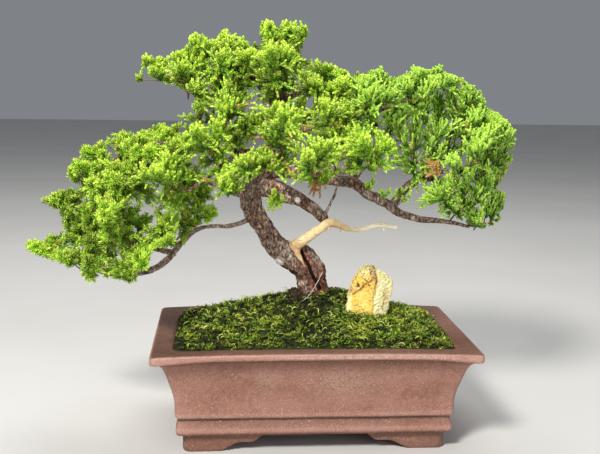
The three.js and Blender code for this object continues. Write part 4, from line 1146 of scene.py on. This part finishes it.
def litter(rng, count=260):
    """Dark crumbs of soil and bark heaped against the trunk's foot."""
    bodies = []
    for _ in range(count):
        turn, far = rng.uniform(0, 2 * np.pi), rng.uniform(11, 22)
        x, y = 3 + far * math.cos(turn) * 1.1, 9 + far * math.sin(turn) * 0.9
        if rng.random() < 0.55:
            x, y = rng.normal(-11, 5), rng.normal(-1, 5)
        if x > 9 and y < 12:
            continue
        z = moss_at(x, y)
        size = rng.uniform(0.7, 1.9)
        middle = np.array([x, y, z + rng.uniform(-0.4, 1.2)])
        rings = []
        for level, wide in ((-0.7, 0.5), (-0.2, 1), (0.4, 0.8), (0.8, 0.3)):
            angle = turns(5) + rng.uniform(0, 0.6, 5)
            radius = size * wide * rng.uniform(0.7, 1.2, 5)
            ring = joined(radius * np.cos(angle), radius * np.sin(angle), level * size * 0.7)
            rings.append(ring + middle)
        bodies.append(loft(rings, (rng.uniform(0, 1), rng.uniform(0, 0.6), 0), kind=1))
    return bodies


def litter_look():
    look = Look("bark_litter", roughness=0.95, specular=0.1)
    tone, pale, _ = look.tint()
    colour = look.mix(tone, (0.008, 0.007, 0.004), (0.034, 0.026, 0.014))
    colour = look.mix(look.times(pale, look.noise(2, 3)), colour, (0.2, 0.13, 0.09))
    return look.finish(colour, look.bump(look.noise(0.7, 3), 0.3))


def build_moss():
    looks = [moss_look(), litter_look()]
    rng = np.random.default_rng(SEEDS["moss"])
    leaves = moss_tufts(rng)
    shoots = sprigs(rng)
    left = leaves[0][:, 0] < 0
    for name, half in (("moss_left", left), ("moss_right", ~left)):
        on_left = name == "moss_left"
        bodies = [blades(*(part[half] for part in leaves))]
        bodies += [body for body in shoots if (body.points[0, 0] < 0) == on_left]
        if on_left:
            bodies += [moss_bed(), *litter(rng)]
        stand_for(mesh_object(name, bodies, looks, flat=(1,)), "moss", "moss")


# ---------------------------------------------------------------- foliage

RING_REACH = 2.7  # the three corners of a stem ring in the solid lie this close together
STEMS_APART = 1.6
LEAST_NEEDLE = 3.0
LEAST_NEEDLES = 5  # a spray with no more needles than this in the outline keeps all of them
UP = np.array([0, 0, 1.0])

# How each side's shoots grow. beyond is how far a shoot passes the solid's needle, short is the
# length of a shoot between two needles, lift turns a shoot's end up and rise bends it up. forks
# is how many shorter shoots fork off a shoot, and fork is their length. leaf, lean and width are
# one leaf's, and `whorl` is the gap between whorls of three leaves. A cord has a radius instead.
STYLES = {
    "left": {"beyond": -2.4, "short": (4, 6), "rise": 0.25, "lift": 0.2, "whorl": 1.8,
             "leaf": 4.7, "lean": 0.72, "width": 1.25, "forks": 2, "fork": (3, 5)},
    "top": {"beyond": -1.8, "short": (4, 6), "rise": 0.5, "lift": 0.75, "whorl": 1.75,
            "leaf": 3.6, "lean": 0.42, "width": 1.55, "forks": 2, "fork": (4, 6)},
    "right": {"beyond": 0, "short": (6, 10), "rise": 0.5, "lift": 0.7, "forks": 3,
              "fork": (4, 7), "leaf": 2, "radius": 1.0},
}
# A shoot between two needles starts so far along the twig from the first one's foot, and is
# turned sideways by so much.
BETWEEN = {"along": 2.2, "turn": 1.4}
ROOTED = 1.2  # a shoot starts this deep in the twig
TWIG_END = 0.3  # a twig passes the stem middles at its ends by so much
LEAF_PAST = 0.6  # the share of a leaf that stands out past the end of its shoot
# Shoots that fill the gaps between sprays. Each needle tries so many needles of other sprays whose
# tips are between `least` and `most` away. A shoot goes `share` of the way there, if nothing else
# comes within `clear` of its end and it is shorter than `longest`.
FILL = {"least": 9, "most": 30, "clear": 4.5, "longest": 22, "tries": 3, "share": (0.35, 0.55)}
# Where long shoots fill the crown between its sprays: middle, radius and how many.
PATCHES = [
    ((-46, -8, 268), 15, 12), ((-8, -8, 277), 13, 10), ((-84, 40, 236), 18, 12),
    ((20, 46, 244), 18, 12), ((-20, 50, 262), 16, 10), ((-92, -26, 207), 13, 14),
    ((-125, -24, 191), 13, 16), ((-122, -18, 182), 9, 8), ((-33, -30, 227), 11, 10),
    ((-30, -46, 208), 12, 8), ((60, -14, 226), 13, 8), ((104, -14, 214), 11, 8),
    ((114, -16, 228), 10, 8), ((-36, -14, 273), 11, 10), ((-3, -25, 250), 12, 12),
    ((4, -28, 216), 11, 8), ((70, 44, 236), 20, 12), ((-60, 44, 254), 18, 12),
    ((108, 28, 228), 20, 12), ((-118, 34, 214), 18, 10),
]
# Little tufts that grow straight from the wood: middle, radius, how many shoots, and whether
# they are dead.
TUFTS = [
    ((-32, -9, 183), 6, 10, False), ((4, -8, 196), 7, 9, True), ((88, -36, 217), 9, 14, True),
    ((48, -6, 201), 6, 5, False), ((60, -6, 194), 5, 4, False), ((72, -6, 191), 6, 5, False),
]
# The hollow between the two masses on the left, as its middle and half size in X and Z.
HOLLOW = ((-152, 261), (52, 19))
# The crown's outline in the picture, clockwise from the tip of the tongue on the left. Shoots
# that would pass it end sooner, and where nothing grows inside it, one more shoot reaches.
CROWN = [
    (139, 77), (141, 64), (146, 56), (160, 60), (172, 53), (184, 49), (194, 45), (188, 37),
    (199, 31), (208, 38), (217, 39), (219, 30), (227, 27), (231, 34), (243, 34), (246, 44),
    (244, 52), (252, 47), (258, 50), (261, 56), (260, 42), (266, 38), (262, 29), (268, 20),
    (276, 27), (281, 34), (284, 25), (291, 27), (298, 18), (305, 26), (311, 33), (305, 42),
    (300, 50), (300, 62), (310, 62), (318, 58), (323, 68), (330, 71), (337, 65), (346, 72),
    (350, 80), (358, 76), (366, 73), (378, 68), (392, 75), (395, 80), (404, 73), (413, 61),
    (421, 68), (446, 72), (462, 77), (470, 86), (486, 92), (485, 111), (499, 112), (509, 122),
    (519, 131), (517, 147), (513, 167), (503, 178), (494, 189), (505, 192), (506, 198),
    (497, 203), (502, 215), (501, 226), (488, 228), (484, 233), (470, 227), (455, 221),
    (440, 221), (434, 214), (438, 204), (430, 200), (414, 213), (405, 208), (407, 197),
    (418, 190), (412, 182), (405, 176), (397, 173), (370, 174), (360, 169), (357, 172),
    (345, 177), (333, 179), (320, 183), (290, 185), (282, 179), (274, 168), (263, 165),
    (258, 176), (248, 188), (238, 196), (222, 197), (215, 203), (222, 213), (213, 222),
    (198, 226), (190, 236), (183, 249), (170, 243), (152, 250), (148, 262), (138, 267),
    (139, 276), (136, 287), (126, 280), (112, 278), (100, 279), (96, 286), (86, 284),
    (79, 277), (83, 268), (70, 268), (56, 261), (45, 255), (33, 255), (32, 246), (35, 239),
    (47, 243), (54, 238), (66, 238), (61, 227), (66, 219), (57, 207), (47, 201), (55, 197),
    (62, 192), (76, 194), (79, 187), (69, 168), (73, 163), (84, 164), (87, 157), (81, 149),
    (83, 144), (95, 150), (98, 143), (105, 135), (114, 131), (126, 137), (130, 149),
    (136, 143), (136, 133), (145, 129), (158, 135), (163, 128), (173, 135), (172, 126),
    (180, 121), (178, 115), (184, 112), (191, 119), (203, 119), (189, 106), (194, 97),
    (191, 89), (180, 90), (165, 83), (155, 77), (147, 77), (141, 83),
]
# Pixels between the places that are tried inside it, and how far each is off its even place.
CROWN_STEP, CROWN_SCATTER = 5, 1.5
BARE = {"within": 5.5, "least": 2}  # a bare place has fewer shoots than `least` so near it
FARTHEST = 32  # pixels that a shoot may cross to reach a bare place
# Leaves darken a shoot when they lie on this side of it and no farther off than SHADE_REACH.
SUN_SIDE = np.array([-0.25, -0.5, 0.83])
SHADE_REACH = 30
SHADE_CONE = 0.35  # the cosine of the widest angle from it
SHADE_FULL = 15  # so many needles on that side leave a shoot quite dark
SHADE_AT_ONCE = 500  # points, so that the table of distances stays small
# A shoot that leaves the outline is cut to `keep` of its length up to so many times, until it is
# as short as `least`.
HOLD = {"tries": 9, "keep": 0.84, "least": 2.5}
# A shoot's tone in the open, how far sprays and shoots differ from it, and what full shade takes
# off it. Then the same for how bright its tip is.
TONE = {"open": 1.02, "by_spray": 0.12, "by_shoot": 0.24, "shade": 0.45}
TIPS = {"bright": (0.55, 1.0), "shade": 0.3}
# The share of shoots that are dry, in the open and more in full shade, and how dry they are.
DRY = {"chance": 0.004, "in_shade": 0.02, "live": (0.5, 1), "dead": (0.7, 1)}
# A bend's middle leans this much along the twig, and its end is scattered by this share of the
# shoot's length.
BEND = {"ahead": 0.35, "scatter": 0.06}
FORK = {"out": 0.6, "ahead": 0.9}  # the way a fork leaves its shoot
TUFT_RISE, TUFT_FORKS = -0.2, 2
# A twig's radius: the least, and what the square root of the stem middles it carries adds.
TWIG, TWIG_ROOT = (0.34, 0.085), (0.4, 0.1)
STEM_TUBE = {"shares": (0, 0.45, 0.9), "radii": (0.5, 0.42, 0.3)}  # the stem of a needle shoot
ASIDE = (0.31, 0.17, 0.93)  # any way that no shoot runs in
TWIG_ASIDE = (0.3, 0.2, 0.93)


def in_crown(pixels):
    """Which pixels lie inside the crown's outline."""
    x, y = pixels[..., 0, None], pixels[..., 1, None]
    a = np.array(CROWN, float)
    b = np.roll(a, -1, axis=0)
    crossed = (a[:, 1] > y) != (b[:, 1] > y)
    slope = (b[:, 0] - a[:, 0]) / np.where(a[:, 1] == b[:, 1], 1, b[:, 1] - a[:, 1])
    return (crossed & (x < a[:, 0] + (y - a[:, 1]) * slope)).sum(-1) % 2 == 1


def spray_anchors(node):
    """Where a foliage solid's stems and needles run: stem middles, needle feet and tips."""
    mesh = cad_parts[node].data
    points = np.zeros(len(mesh.vertices) * 3)
    mesh.vertices.foreach_get("co", points)
    points = points.reshape(-1, 3) / MM - ORIGIN
    corners = np.zeros(len(mesh.polygons) * 3, np.int64)
    mesh.polygons.foreach_get("vertices", corners)
    places, same = np.unique(np.round(points, 3), axis=0, return_inverse=True)
    triangles = same.ravel()[corners].reshape(-1, 3)
    uses = np.bincount(triangles.ravel(), minlength=len(places))
    feet, tips, is_tip = [], [], np.zeros(len(places), bool)
    for corner in np.flatnonzero(uses == 3):
        around = np.unique(triangles[(triangles == corner).any(axis=1)])
        foot = places[around[around != corner]].mean(0)
        if np.linalg.norm(places[corner] - foot) > LEAST_NEEDLE:
            feet.append(foot)
            tips.append(places[corner])
            is_tip[corner] = True
    rest = places[~is_tip]
    near = np.linalg.norm(rest[:, None] - rest[None], axis=-1) < RING_REACH
    stems = []
    for middle in (near[..., None] * rest[None]).sum(1) / near.sum(1)[:, None]:
        if all(np.linalg.norm(middle - other) > STEMS_APART for other in stems):
            stems.append(middle)
    return np.array(stems), np.array(feet), np.array(tips)


def in_outline(stems, feet, tips):
    """A spray without the needles that would start outside the crown's outline."""
    seen = in_crown(in_picture(feet))
    return (stems, feet[seen], tips[seen]) if seen.sum() > LEAST_NEEDLES else (stems, feet, tips)


def grow_tree(stems, root):
    """Joins stem middles to the nearest grown one: each one's parent, and the order they grew."""
    parent = np.full(len(stems), -1)
    reached = [root]
    left = set(range(len(stems))) - {root}
    while left:
        waiting = np.array(sorted(left))
        gaps = np.linalg.norm(stems[waiting][:, None] - stems[reached][None], axis=-1)
        i, j = np.unravel_index(np.argmin(gaps), gaps.shape)
        parent[waiting[i]] = reached[j]
        reached.append(int(waiting[i]))
        left.remove(int(waiting[i]))
    return parent, reached


def ways_from(parent, order, stems):
    """The way each stem middle's twig runs, and how many middles it carries."""
    carried = np.ones(len(stems))
    for i in reversed(order[1:]):
        carried[parent[i]] += carried[i]
    way = stems - stems[parent]
    way[order[0]] = stems[order[1]] - stems[order[0]]
    return unit(way), carried


def bends_from(rng, start, ahead, end, rise):
    """Curved shoots, as the three points of a bend: off along the twig, then up to the end."""
    length = np.linalg.norm(end - start, axis=1)
    away = unit(end - start)
    middle = start + unit(away + ahead * BEND["ahead"] - UP * rise) * length[:, None] * 0.5
    end = end + UP * rise * 2 + rng.normal(0, BEND["scatter"], end.shape) * length[:, None]
    return (start, middle, end), length


def on_bend(bend, share):
    """Places and ways along bends, one share each."""
    a, b, c = bend
    t = share[:, None]
    place = a * (1 - t) ** 2 + 2 * b * t * (1 - t) + c * t**2
    return place, unit((b - a) * (1 - t) + (c - b) * t)


def across(way, turn, aside=ASIDE):
    """Unit vectors square to `way`, turned about it."""
    first = unit(np.cross(way, aside))
    second = np.cross(way, first)
    return first * np.cos(turn)[:, None] + second * np.sin(turn)[:, None]


def bend_tubes(bend, shares, radius, tones):
    """A closed three-sided tube on every bend. radius is one number for each share."""
    sides = 3
    count, rings = len(bend[0]), len(shares)
    step = rings * sides + 1
    points = np.zeros((count, step, 3))
    for k, share in enumerate(shares):
        place, way = on_bend(bend, np.full(count, share))
        for j, turn in enumerate(turns(sides) + (k % 2) * np.pi / sides):
            points[:, k * sides + j] = place + across(way, np.full(count, turn)) * radius[k]
    points[:, -1], _ = on_bend(bend, np.ones(count))
    faces = []
    for k, j in itertools.product(range(rings - 1), range(sides)):
        a, b = k * sides + j, k * sides + (j + 1) % sides
        c, d = a + sides, b + sides
        faces += [[a, b, d], [a, d, c]] if k % 2 else [[a, b, c], [b, d, c]]
    last = step - 1 - sides
    faces += [[last + j, last + (j + 1) % sides, step - 1] for j in range(sides)]
    faces.append([0, 2, 1])
    faces = (np.arange(count) * step)[:, None, None] + np.array(faces)
    tone, bright, dry = (part[:, None] for part in tones)
    along = np.concatenate([np.repeat(shares, sides), [1.0]])
    layer = joined((0.15 + 0.85 * along) * tone, along * bright, dry)
    return Body(points, [faces.reshape(-1, 3)], layer.reshape(-1, 3))


def needles_on(rng, bend, length, style, tones):
    """Whorls of three leaves all along each bend, with a closed bud of them at its end."""
    whorls = np.maximum(3, np.round(length / style["whorl"]).astype(int))
    shoot = np.repeat(np.arange(len(length)), whorls * 3)
    count = len(shoot)
    number = np.concatenate([np.repeat(np.arange(n), 3) for n in whorls])
    third = np.tile(np.arange(3), whorls.sum())
    share = np.clip((number + 0.6 + rng.uniform(-0.2, 0.2, count)) / whorls[shoot], 0, 1)
    place, ahead = on_bend([point[shoot] for point in bend], share)
    turn = shoot * 1.9 + number * np.pi / 3 + third * 2 * np.pi / 3 + rng.normal(0, 0.25, count)
    out = across(ahead, turn)
    lean = style["lean"] * (1.15 - 0.75 * share**2) * rng.uniform(0.8, 1.2, count)
    way = unit(ahead * np.cos(lean)[:, None] + out * np.sin(lean)[:, None])
    size = style["leaf"] * (1.0 - 0.38 * share**3) * rng.uniform(0.78, 1.12, count)
    width = style["width"] * rng.uniform(0.85, 1.15, count)
    tone, bright, dry = (part[shoot] for part in tones)
    tint = joined((tone * (0.3 + 0.7 * share))[:, None] * (0.4, 0.9, 0.9, 1),
                  (bright * (0.15 + 0.85 * share))[:, None] * (0, 0.6, 0.6, 1), dry[:, None])
    return blades(place, way, unit(np.cross(way, out)), size, width, 0.0, tint)


def cords_on(bend, length, radius, tones):
    """Whip-cord shoots: a slim tube whose rings swell like overlapping scales."""
    rings = 8 if length.mean() > 9 else 6
    shares = np.linspace(0, 0.965, rings)
    swell = np.where(np.arange(rings) % 2, 1.14, 0.86)
    return bend_tubes(bend, shares, radius * swell * (1 - 0.3 * shares**2), tones)


def hold_in(start, end, leaf):
    """Ends shoots sooner, so that leaves reaching `leaf` past them stay in the crown's outline."""
    for _ in range(HOLD["tries"]):
        length = np.linalg.norm(end - start, axis=1)
        out = ~in_crown(in_picture(end + unit(end - start) * leaf)) & (length > HOLD["least"])
        end = np.where(out[:, None], start + (end - start) * HOLD["keep"], end)
    return end


def lifted(start, end, lift):
    """Ends of shoots turned up by `lift`, as long as before."""
    length = np.linalg.norm(end - start, axis=1, keepdims=True)
    return start + unit((end - start) / np.maximum(length, 1e-6) + UP * lift) * length


def shade_at(points, tips):
    """How deep in the crown points are: 0 in the open, 1 behind and under many leaves."""
    sun = SUN_SIDE / np.linalg.norm(SUN_SIDE)
    count = []
    for part in np.array_split(points, len(points) // SHADE_AT_ONCE + 1):
        off = tips[None] - part[:, None]
        far = np.linalg.norm(off, axis=-1)
        count.append(((far < SHADE_REACH) & (off @ sun > far * SHADE_CONE)).sum(1))
    return np.clip(np.concatenate(count) / SHADE_FULL, 0, 1)


def forks_on(rng, bend, style, count, held=True):
    """Shorter shoots that fork off each bend."""
    bends = []
    for k in range(count):
        share = (k + 0.9) / (count + 1.3) + rng.uniform(-0.1, 0.1, len(bend[0]))
        place, ahead = on_bend(bend, share)
        out = across(ahead, rng.uniform(0, 2 * np.pi, len(place)))
        length = rng.uniform(*style["fork"], len(place)) * (1.15 - 0.4 * share)
        way = unit(out * FORK["out"] + ahead * FORK["ahead"] + UP * style["lift"])
        end = place + way * length[:, None]
        if held:
            end = hold_in(place, end, style["leaf"] * LEAF_PAST)
        bends.append(bends_from(rng, place, ahead, end, style["rise"]))
    return bends


def twig_bodies(stems, parent, order, carried, root_end):
    """Thin woody twigs between the stem middles, thicker where they carry more."""
    def radius(i, least, more):
        return least + more * math.sqrt(carried[i])

    bodies = []
    for i in order:
        start, thick = root_end, radius(i, *TWIG_ROOT)
        if parent[i] >= 0:
            start, thick = stems[parent[i]], radius(parent[i], *TWIG)
        way = unit(stems[i] - start)
        spokes = across(way, turns(5), TWIG_ASIDE)
        over = way * TWIG_END
        rings = [start - over + spokes * thick, stems[i] + over + spokes * radius(i, *TWIG)]
        bodies.append(loft(rings, (min(1, carried[i] / 12), 0, 0), kind=1))
    return bodies


def gap_ends(rng, spray, sprays):
    """Where to reach into the gaps next to a spray: the needle each one starts at, and the end."""
    _, feet, tips = sprays[spray]
    others = np.vstack([part[2] for name, part in sprays.items() if name != spray])
    every = np.vstack([np.vstack(part[1:]) for part in sprays.values()])
    needles, ends = [], []
    for i, tip in enumerate(tips):
        far = np.linalg.norm(others - tip, axis=1)
        near = np.flatnonzero((far > FILL["least"]) & (far < FILL["most"]))
        if not len(near):
            continue
        for j in rng.choice(near, FILL["tries"]):
            end = tip + (others[j] - tip) * rng.uniform(*FILL["share"])
            clear = np.linalg.norm(np.vstack([every, *ends]) - end, axis=1).min()
            off = (end[::2] - HOLLOW[0]) / HOLLOW[1]
            if off @ off < 1 or clear < FILL["clear"]:
                continue
            if np.linalg.norm(end - feet[i]) < FILL["longest"]:
                needles.append(i)
                ends.append(end)
    return np.array(needles, int), np.array(ends).reshape(-1, 3)


def patch_shoots(sprays, wood):
    """More shoots: {spray: [(start, end, dead)]}. dead is None for those that aren't in a tuft."""
    rng = np.random.default_rng(SEEDS["patches"])
    owners = {name: [] for name in sprays}
    names = [name for name, part in sprays.items() for _ in part[1]]
    feet = np.vstack([part[1] for part in sprays.values()])
    tips = np.vstack([lifted(part[1], part[2], style_of(name)["lift"])
                      for name, part in sprays.items()])
    reached = [feet, tips, (feet + tips) / 2]
    for middle, radius, count in PATCHES:
        away = unit(rng.normal(0, 1, (count, 3))) * radius
        ends = np.array(middle) + away * rng.uniform(0, 1, (count, 1)) ** 0.5
        reached.append(ends)
        for end in ends:
            nearest = np.linalg.norm(feet - end, axis=1).argmin()
            owners[names[nearest]].append((feet[nearest], end, None))
    for middle, radius, count, dead in TUFTS:
        start = np.array(wood.find_nearest(Vector(middle))[0])
        nearest = np.linalg.norm(feet - start, axis=1).argmin()
        for way in unit(rng.normal(0, 1, (count, 3))):
            owners[names[nearest]].append((start, np.array(middle) + way * radius, dead))
    seen, rooted = in_picture(np.vstack(reached)), in_picture(feet)
    columns, rows = (np.arange(min(part), max(part), CROWN_STEP) for part in zip(*CROWN))
    for corner in itertools.product(columns, rows):
        pixel = np.array(corner) + rng.uniform(-CROWN_SCATTER, CROWN_SCATTER, 2)
        far = np.linalg.norm(rooted - pixel, axis=1)
        nearest = rng.choice(np.argsort(far)[:3])
        near = (np.linalg.norm(seen - pixel, axis=1) < BARE["within"]).sum()
        if near < BARE["least"] and in_crown(pixel) and far[nearest] < FARTHEST:
            seen = np.vstack([seen, pixel])
            end = seen_at(pixel, feet[nearest])
            owners[names[nearest]].append((feet[nearest], end, None))
    return owners


def style_of(node):
    return STYLES[node.split("_")[0]]


def build_spray(node, sprays, patches, wood, looks, seed):
    style = style_of(node)
    rng = np.random.default_rng(seed)
    stems, feet, tips = sprays[node]
    root = int(np.argmin([wood.find_nearest(Vector(point))[3] for point in stems]))
    root_end = np.array(wood.find_nearest(Vector(stems[root]))[0])
    parent, order = grow_tree(stems, root)
    run, carried = ways_from(parent, order, stems)
    nearest = np.argmin(np.linalg.norm(feet[:, None] - stems[None], axis=-1), axis=1)
    ahead = run[nearest]
    way = unit(tips - feet)
    bears = np.isin(np.arange(len(stems)), nearest)
    for i in reversed(order[1:]):
        bears[parent[i]] |= bears[i]
    ends = np.flatnonzero((carried == 1) & bears)
    # Between two needles of the solid grows one more shoot, turned a sixth of the way round.
    between = unit(way + np.cross(ahead, way) * BETWEEN["turn"])
    short = rng.uniform(*style["short"], (len(feet) + len(ends), 1))
    middles = np.vstack([feet + ahead * BETWEEN["along"], stems[ends]])
    reach = middles + np.vstack([between, run[ends]]) * short
    # Shoots also reach into the gaps beside the spray and to this spray's share of the patches.
    filled, fill_ends = gap_ends(rng, node, sprays)
    extra = [patch[:2] for patch in patches if patch[2] is None]
    fill_starts = np.vstack([feet[filled], *(start for start, _ in extra)])
    fill_ahead = np.vstack([ahead[filled], *(unit(end - start) for start, end in extra)])
    fill_ends = np.vstack([fill_ends, *(end for _, end in extra)])

    def bent(start, ahead, end, rise=style["rise"]):
        return bends_from(rng, start, ahead, hold_in(start, end, style["leaf"] * LEAF_PAST), rise)

    starts = feet - way * ROOTED
    groups = [
        bent(starts, ahead, lifted(starts, tips + way * style["beyond"], style["lift"])),
        bent(middles, np.vstack([ahead, run[ends]]), lifted(middles, reach, style["lift"])),
    ]
    groups += forks_on(rng, groups[0][0], style, style["forks"])
    groups += forks_on(rng, groups[1][0], style, style["forks"] - 1)
    if len(fill_starts):
        groups.append(bent(fill_starts, fill_ahead, fill_ends, 0))
        groups += forks_on(rng, groups[-1][0], style, style["forks"])
    for wanted in (False, True):
        alive = len(groups)  # the groups that come before the dead ones, once the loop is done
        tuft = np.array([[start, end] for start, end, dead in patches if dead is wanted])
        if len(tuft):
            start, end = tuft[:, 0], tuft[:, 1]
            groups.append(bends_from(rng, start, unit(end - start), end, TUFT_RISE))
            groups += forks_on(rng, groups[-1][0], style, TUFT_FORKS, held=False)
    every = np.vstack([part[2] for part in sprays.values()])
    own_tone = rng.uniform(-TONE["by_spray"], TONE["by_spray"])
    bodies = []
    for number, (bend, size) in enumerate(groups):
        shade = shade_at(bend[2], every)
        tone = rng.normal(TONE["open"] + own_tone, TONE["by_shoot"], len(size))
        tone = np.clip(tone - TONE["shade"] * shade, 0, 1)
        bright = rng.uniform(*TIPS["bright"], len(size)) * (1 - TIPS["shade"] * shade)
        dry = rng.random(len(size)) < DRY["chance"] + DRY["in_shade"] * shade
        dry = dry * rng.uniform(*DRY["live"], len(size))
        if number >= alive:
            dry = rng.uniform(*DRY["dead"], len(size))
        tones = (tone, bright, dry)
        if "radius" in style:
            bodies.append(cords_on(bend, size, style["radius"], tones))
        else:
            bodies.append(bend_tubes(bend, STEM_TUBE["shares"], STEM_TUBE["radii"], tones))
            bodies.append(needles_on(rng, bend, size, style, tones))
    bodies += twig_bodies(stems, parent, [i for i in order if bears[i]], carried, root_end)
    piece = mesh_object(node.replace("spray", "foliage"), bodies, looks, flat=(0,))
    stand_for(piece, "scale_foliage" if "radius" in style else "needle_foliage", node)


def foliage_look(name, deep, mid, light, tip_colour):
    look = Look(name, roughness=0.55, specular=0.3)
    tone, tip, dry = look.tint()
    patch = look.times(look.math("SUBTRACT", look.noise(30, 2), 0.5), 0.8)
    base = look.ramp(look.math("ADD", tone, patch), (0.05, deep), (0.5, mid), (0.95, light))
    base = look.over(base, (look.ramp(tip, (0.05, 0.0), (0.65, 0.95)), tip_colour),
                     (dry, (0.58, 0.3, 0.11)))
    return look.finish(base, look.bump(look.noise(0.6, 2), 0.15))


def twig_look():
    look = Look("young_twigs", roughness=0.8, specular=0.2)
    woody, _, _ = look.tint()
    green = look.mask((2.2, 3), (0.35, (0.2, 0.2, 0.05)), (0.65, (0.32, 0.17, 0.07)))
    brown = look.mask((1.6, 4), (0.35, (0.12, 0.05, 0.03)), (0.65, (0.3, 0.15, 0.09)))
    return look.finish(look.mix(woody, green, brown), look.bump(look.noise(0.8, 3), 0.25))


def build_foliage():
    bark = twig_look()
    needles = foliage_look("green_needles", (0.02, 0.09, 0.005), (0.135, 0.385, 0.012),
                           (0.385, 0.76, 0.026), (0.83, 0.99, 0.13))
    cords = foliage_look("green_cords", (0.016, 0.075, 0.004), (0.064, 0.24, 0.008),
                         (0.18, 0.45, 0.016), (0.54, 0.8, 0.1))
    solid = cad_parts["trunk_and_branches"].data
    corners = [Vector(np.array(vertex.co) / MM - ORIGIN) for vertex in solid.vertices]
    wood = BVHTree.FromPolygons(corners, [polygon.vertices[:] for polygon in solid.polygons])
    nodes = sorted(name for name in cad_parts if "_spray_" in name)
    sprays = {node: in_outline(*spray_anchors(node)) for node in nodes}
    patches = patch_shoots(sprays, wood)
    for seed, node in enumerate(nodes, SEEDS["sprays"]):
        looks = [cords if "radius" in style_of(node) else needles, bark]
        build_spray(node, sprays, patches[node], wood, looks, seed)


# ---------------------------------------------------------------- soil and screens


def soil_look():
    look = Look("damp_soil", roughness=0.95, specular=0.1)
    grain = look.cells(2.6)
    colour = look.ramp(grain, (0.1, (0.1, 0.06, 0.035)), (0.6, (0.035, 0.022, 0.015)))
    colour = look.mix(look.mask((6, 3), (0.5, 0.0), (0.7, 0.5)), colour, (0.16, 0.09, 0.05))
    return look.finish(colour, look.bump(grain, 0.8))


def screen_look():
    look = Look("black_mesh", roughness=0.5, specular=0.4)
    colour = look.mask((3, 3), (0.35, (0.012, 0.013, 0.013)), (0.7, (0.03, 0.032, 0.03)))
    return look.finish(colour, look.bump(look.noise(1.2, 3), 0.08))


def dress_hidden_solids():
    looks = {"soil": soil_look, "drain_screen_left": screen_look, "drain_screen_right": screen_look}
    for name, look in looks.items():
        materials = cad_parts[name].data.materials
        materials.clear()
        materials.append(look())


# ---------------------------------------------------------------- scene

make_camera()
make_surroundings()
build_pot()
build_wood()
build_dead_branch()
build_stone()
build_moss()
build_foliage()
dress_hidden_solids()
bpy.context.scene.view_settings.view_transform = "Standard"
